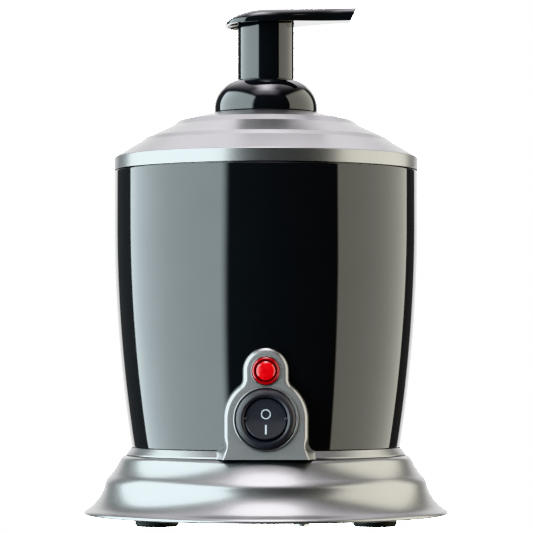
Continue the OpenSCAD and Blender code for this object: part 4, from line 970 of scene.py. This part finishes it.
# %% Lid
lid_z, band_h = 130.7, 4.8
slope3_r, slope2_r, slope2_end_r, slope1_r = 47.2, 45.2, 35.4, 32.4
slope3_z, slope2_z, slope2_end_z = lid_z + 10.7, lid_z + 12.2, lid_z + 16.7
slope1_z, seat_z = lid_z + 18.9, lid_z + 21.9
lid_wall, lid_rim_h = 2.0, 3.2
lid_rim_r = shell_r - shell_wall - 0.2
neck_r, neck_h, neck_bore_r = 15.4, 5.8, 14.0
collar_r, collar_round, stem_r, thread_pitch = 19.5, 11.0, 10.7, 4.0
seat_r = collar_r + 0.7
neck_top = seat_z + neck_h
lid_ring_r, seal_z, seal_h = 35.2, 127.4, 2.4


def add_thread(mesh, root, crest, z0, from_turn, turns, per=64):
    """A ridge that winds up a neck, or down into a collar, and fades at both ends."""
    count = round(per * turns)
    rows = []
    for i in range(count + 1):
        a = 2 * pi * (from_turn + i / per)
        z = z0 + thread_pitch * a / (2 * pi)
        top = root + (crest - root) * (min(1, i / 8, (count - i) / 8) * 0.9 + 0.1)
        rows.append([(r * cos(a), r * sin(a), z + dz) for r, dz in
                     ((root, -0.75), (root, 0.75), (top, 0.35), (top, -0.35))])
    add_skin(mesh, rows, caps=True)


def lid():
    """The lid's shell with its rim and neck, the ring that holds its seal, and the thread."""
    under = lid_wall * 1.15
    rim_in, rim_low = lid_rim_r - 2.0, lid_z - lid_rim_h
    outside = [
        (shell_r, lid_z, 0.2), (shell_r, lid_z + band_h, 0.6),
        (slope3_r + 0.1, slope3_z - 0.1, 0.2), (slope2_r, slope2_z, 0.3),
        (slope2_end_r, slope2_end_z, 0.25), (slope1_r + 0.2, slope1_z - 0.1, 0.3),
        (seat_r + 0.1, seat_z - 0.3, 0.4),
        (neck_r, seat_z - 0.35), (neck_r, neck_top, 0.3), (neck_bore_r, neck_top, 0.3)]
    inside = [
        (neck_bore_r, seat_z - lid_wall), (slope1_r - 1, slope1_z - under),
        (slope2_end_r, slope2_end_z - under), (slope2_r - 1, slope2_z - under),
        (slope3_r - 1, slope3_z - under), (rim_in, lid_z + band_h - 1.2),
        (rim_in, rim_low, 0.4), (lid_rim_r, rim_low, 0.4), (lid_rim_r, lid_z)]
    mesh = bmesh.new()
    add_turned(mesh, rounded(outside + inside, 6), 320)
    ring_low, ring_top_z = seal_z + seal_h / 2, slope2_end_z - under + 0.2
    groove_z = ring_low + 1.3
    ring_outline = rounded([
        (lid_ring_r, ring_top_z), (lid_ring_r, ring_low, 0.2), (lid_ring_r + 0.5, ring_low, 0.1),
        (lid_ring_r + 0.5, groove_z), (lid_ring_r + 1.5, groove_z),
        (lid_ring_r + 1.5, ring_low, 0.1), (lid_ring_r + 2, ring_low, 0.2),
        (lid_ring_r + 2, ring_top_z)])
    add_turned(mesh, ring_outline, 192)
    add_thread(mesh, neck_r - 0.1, neck_r + 0.8, seat_z + 1.1, 0, 0.9)
    return finished(to_object("stepped_lid", mesh), "lid", "silver_paint", "lid")


lid()

# %% [markdown]
# ## The pump's collar
# The collar is a black dome that screws on the lid's neck: a quarter-round shoulder of 11 mm
# that turns in to the stem's hole.

# %% Collar
collar_z, collar_skirt, clamp_z, clamp_r = 152.9, 0.5, 160.5, 13.8
collar_hole_r = stem_r + 0.3


def collar():
    at_r, at_z = collar_r - collar_round, collar_z + 1.3
    lip = degrees(acos((collar_hole_r - at_r) / collar_round))
    outline = ([(neck_r + 1.6, collar_z - collar_skirt)]
               + arc(collar_r - 0.5, collar_z + 0.5 - collar_skirt, 0.5, -80, 0, 5)
               + arc(at_r, at_z, collar_round, 0, lip, 48)
               + [(collar_hole_r, clamp_z + 2), (clamp_r, clamp_z + 1.6), (clamp_r, clamp_z),
                  (neck_r + 0.3, clamp_z), (neck_r + 0.3, clamp_z - 1.2),
                  (neck_r + 1.6, clamp_z - 1.6)])
    mesh = bmesh.new()
    add_turned(mesh, outline, 256)
    add_thread(mesh, neck_r + 1.7, neck_r + 0.5, seat_z + 1.1 - thread_pitch / 2, 0.5, 1.0)
    return finished(to_object("dome_collar", mesh), "collar", "gloss_black", "pump_collar")


collar()

# %% [markdown]
# ## The pump head
# The head is a teardrop seen from above and a thin wedge from the side. It's hollow at the
# back, where its skirt hangs over the stem, and closed under the spout. It is lofted: at each
# place along its length a squared-off arch stands on a straight rim, and the rims of all the
# arches make the teardrop.

# %% Pump head
spout_reach, head_back, head_half_w, tip_half_w = 31.7, 15.5, 15.4, 4.9
head_z, rim_rise, head_h, head_wall = 185.0, 2.0, 5.4, 1.3
taper_x, hollow_end_x, end_slant = -4.0, 9.5, 0.48
stem_wall, stem_foot_z = 1.5, 161.4
duct_r, duct_z, duct_tilt = 1.7, head_z + 3.3, 2.1
rod_top = head_z - 7.0
socket_r, cartridge_r, cartridge_h = 6.6, 5.0, 6.0


def head_plan(grow):
    """Half of the teardrop, from the back to the tip."""
    half_w = head_half_w + grow
    return (bezier([(-head_back - grow, 0.15), (-head_back - grow, head_half_w * 0.62 + grow),
                    (-head_back * 0.85 - grow, half_w), (taper_x, half_w)], 28)
            + bezier([(taper_x, half_w), (8, half_w),
                      (spout_reach * 0.5, tip_half_w + 1.6 + grow),
                      (spout_reach, tip_half_w + grow)], 36)[1:])


def rim_z(x):
    return head_z + rim_rise * (x + head_back) / (spout_reach + head_back)


def crown(x):
    """How high the arch stands over the rim."""
    from_back = max(x + head_back, 0)
    along = (x + head_back) / (spout_reach + head_back)
    rise = 0.06 + 0.94 * sin(radians(90 * from_back / head_back)) ** 0.62 if x < 0 else 1
    return head_h * rise - 0.35 * max(0, along - 0.32)


def add_head(mesh, grow, drop, slant, sides=44):
    """Lofts the head: grow moves its walls out, drop lowers its rim, slant leans its tip."""
    rows = []
    side_power, top_power = 0.55, 0.62  # under 1 they square the arch off
    for x, half in head_plan(grow):
        low = rim_z(x) - drop
        top = rim_z(x) + crown(max(x, -head_back)) + grow
        row = []
        for k in range(sides + 1):
            c, s = cos(pi * k / sides), sin(pi * k / sides)
            y = half * abs(c) ** side_power * (1 if c > 0 else -1)
            z = low + (top - low) * max(s, 0) ** top_power
            lean = slant * (z - low) * max(0, (x - spout_reach * 0.8) / (spout_reach * 0.2))
            row.append((x + lean, y, z))
        rows.append(row)
    add_skin(mesh, rows, caps=True)


def box(low, high):
    """A plain block between two corners."""
    mesh = bmesh.new()
    size = [b - a for a, b in zip(low, high)]
    middle = [(a + b) / 2 for a, b in zip(low, high)]
    place = Matrix.Translation(middle) @ Matrix.Diagonal((*size, 1))
    bmesh.ops.create_cube(mesh, size=1, matrix=place)
    return to_object("box", mesh)


def upright(radius, low, length, steps):
    return rod(radius, length, Matrix.Translation((0, 0, low)), steps)


def pump_head():
    """The hollowed head; its stem, rod socket and duct block joined on; its passages cut."""
    mesh = bmesh.new()
    add_head(mesh, 0, 0, end_slant)
    head = to_object("pump_head", mesh)
    mesh = bmesh.new()
    add_head(mesh, -head_wall, 1, 0)
    behind = box((-30.5, -20, head_z - 10), (hollow_end_x, 20, head_z + 20))
    combine(head, combine(to_object("hollow", mesh), behind, "INTERSECT"))
    stem_top, block_half_w = head_z + 3.8, duct_r + 1.2
    stem = turned("stem", rounded([
        (stem_r - stem_wall, stem_foot_z, 0.3), (stem_r, stem_foot_z, 0.4), (stem_r, stem_top),
        (stem_r - stem_wall, stem_top)]), 192)
    combine(head, stem, "UNION")
    combine(head, upright(socket_r, rod_top - 6, stem_top + 0.4 - rod_top + 6, 96), "UNION")
    block = box((0, -block_half_w, head_z + 0.8), (hollow_end_x + 1, block_half_w, head_z + 4.7))
    combine(head, block, "UNION")
    combine(head, upright(cartridge_r, rod_top - 7, cartridge_h + 7.4, 96))
    combine(head, upright(3, rod_top, duct_z - rod_top, 64))
    duct = Matrix.Translation((0, 0, duct_z)) @ Matrix.Rotation(radians(90 - duct_tilt), 4, "Y")
    combine(head, rod(duct_r, spout_reach + 10, duct, 64))
    return finished(head, "spout", "gloss_black", "spout_head", edge_mm=0.1)


pump_head()

# %% [markdown]
# ## The pieces that keep their own shape
# Screws, wires, the cup, the heater and the pump's inner parts already have the right shape in
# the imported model. They only need their finish.

# %% Finishes on the model's own pieces
kept = [name for name, node in frame["nodes"].items() if not node.hide_render]
for name in kept:
    for holder in frame["nodes"][name].material_slots:
        holder.material = finishes[slots[name]]
print(len(kept), "pieces keep the model's own shape")
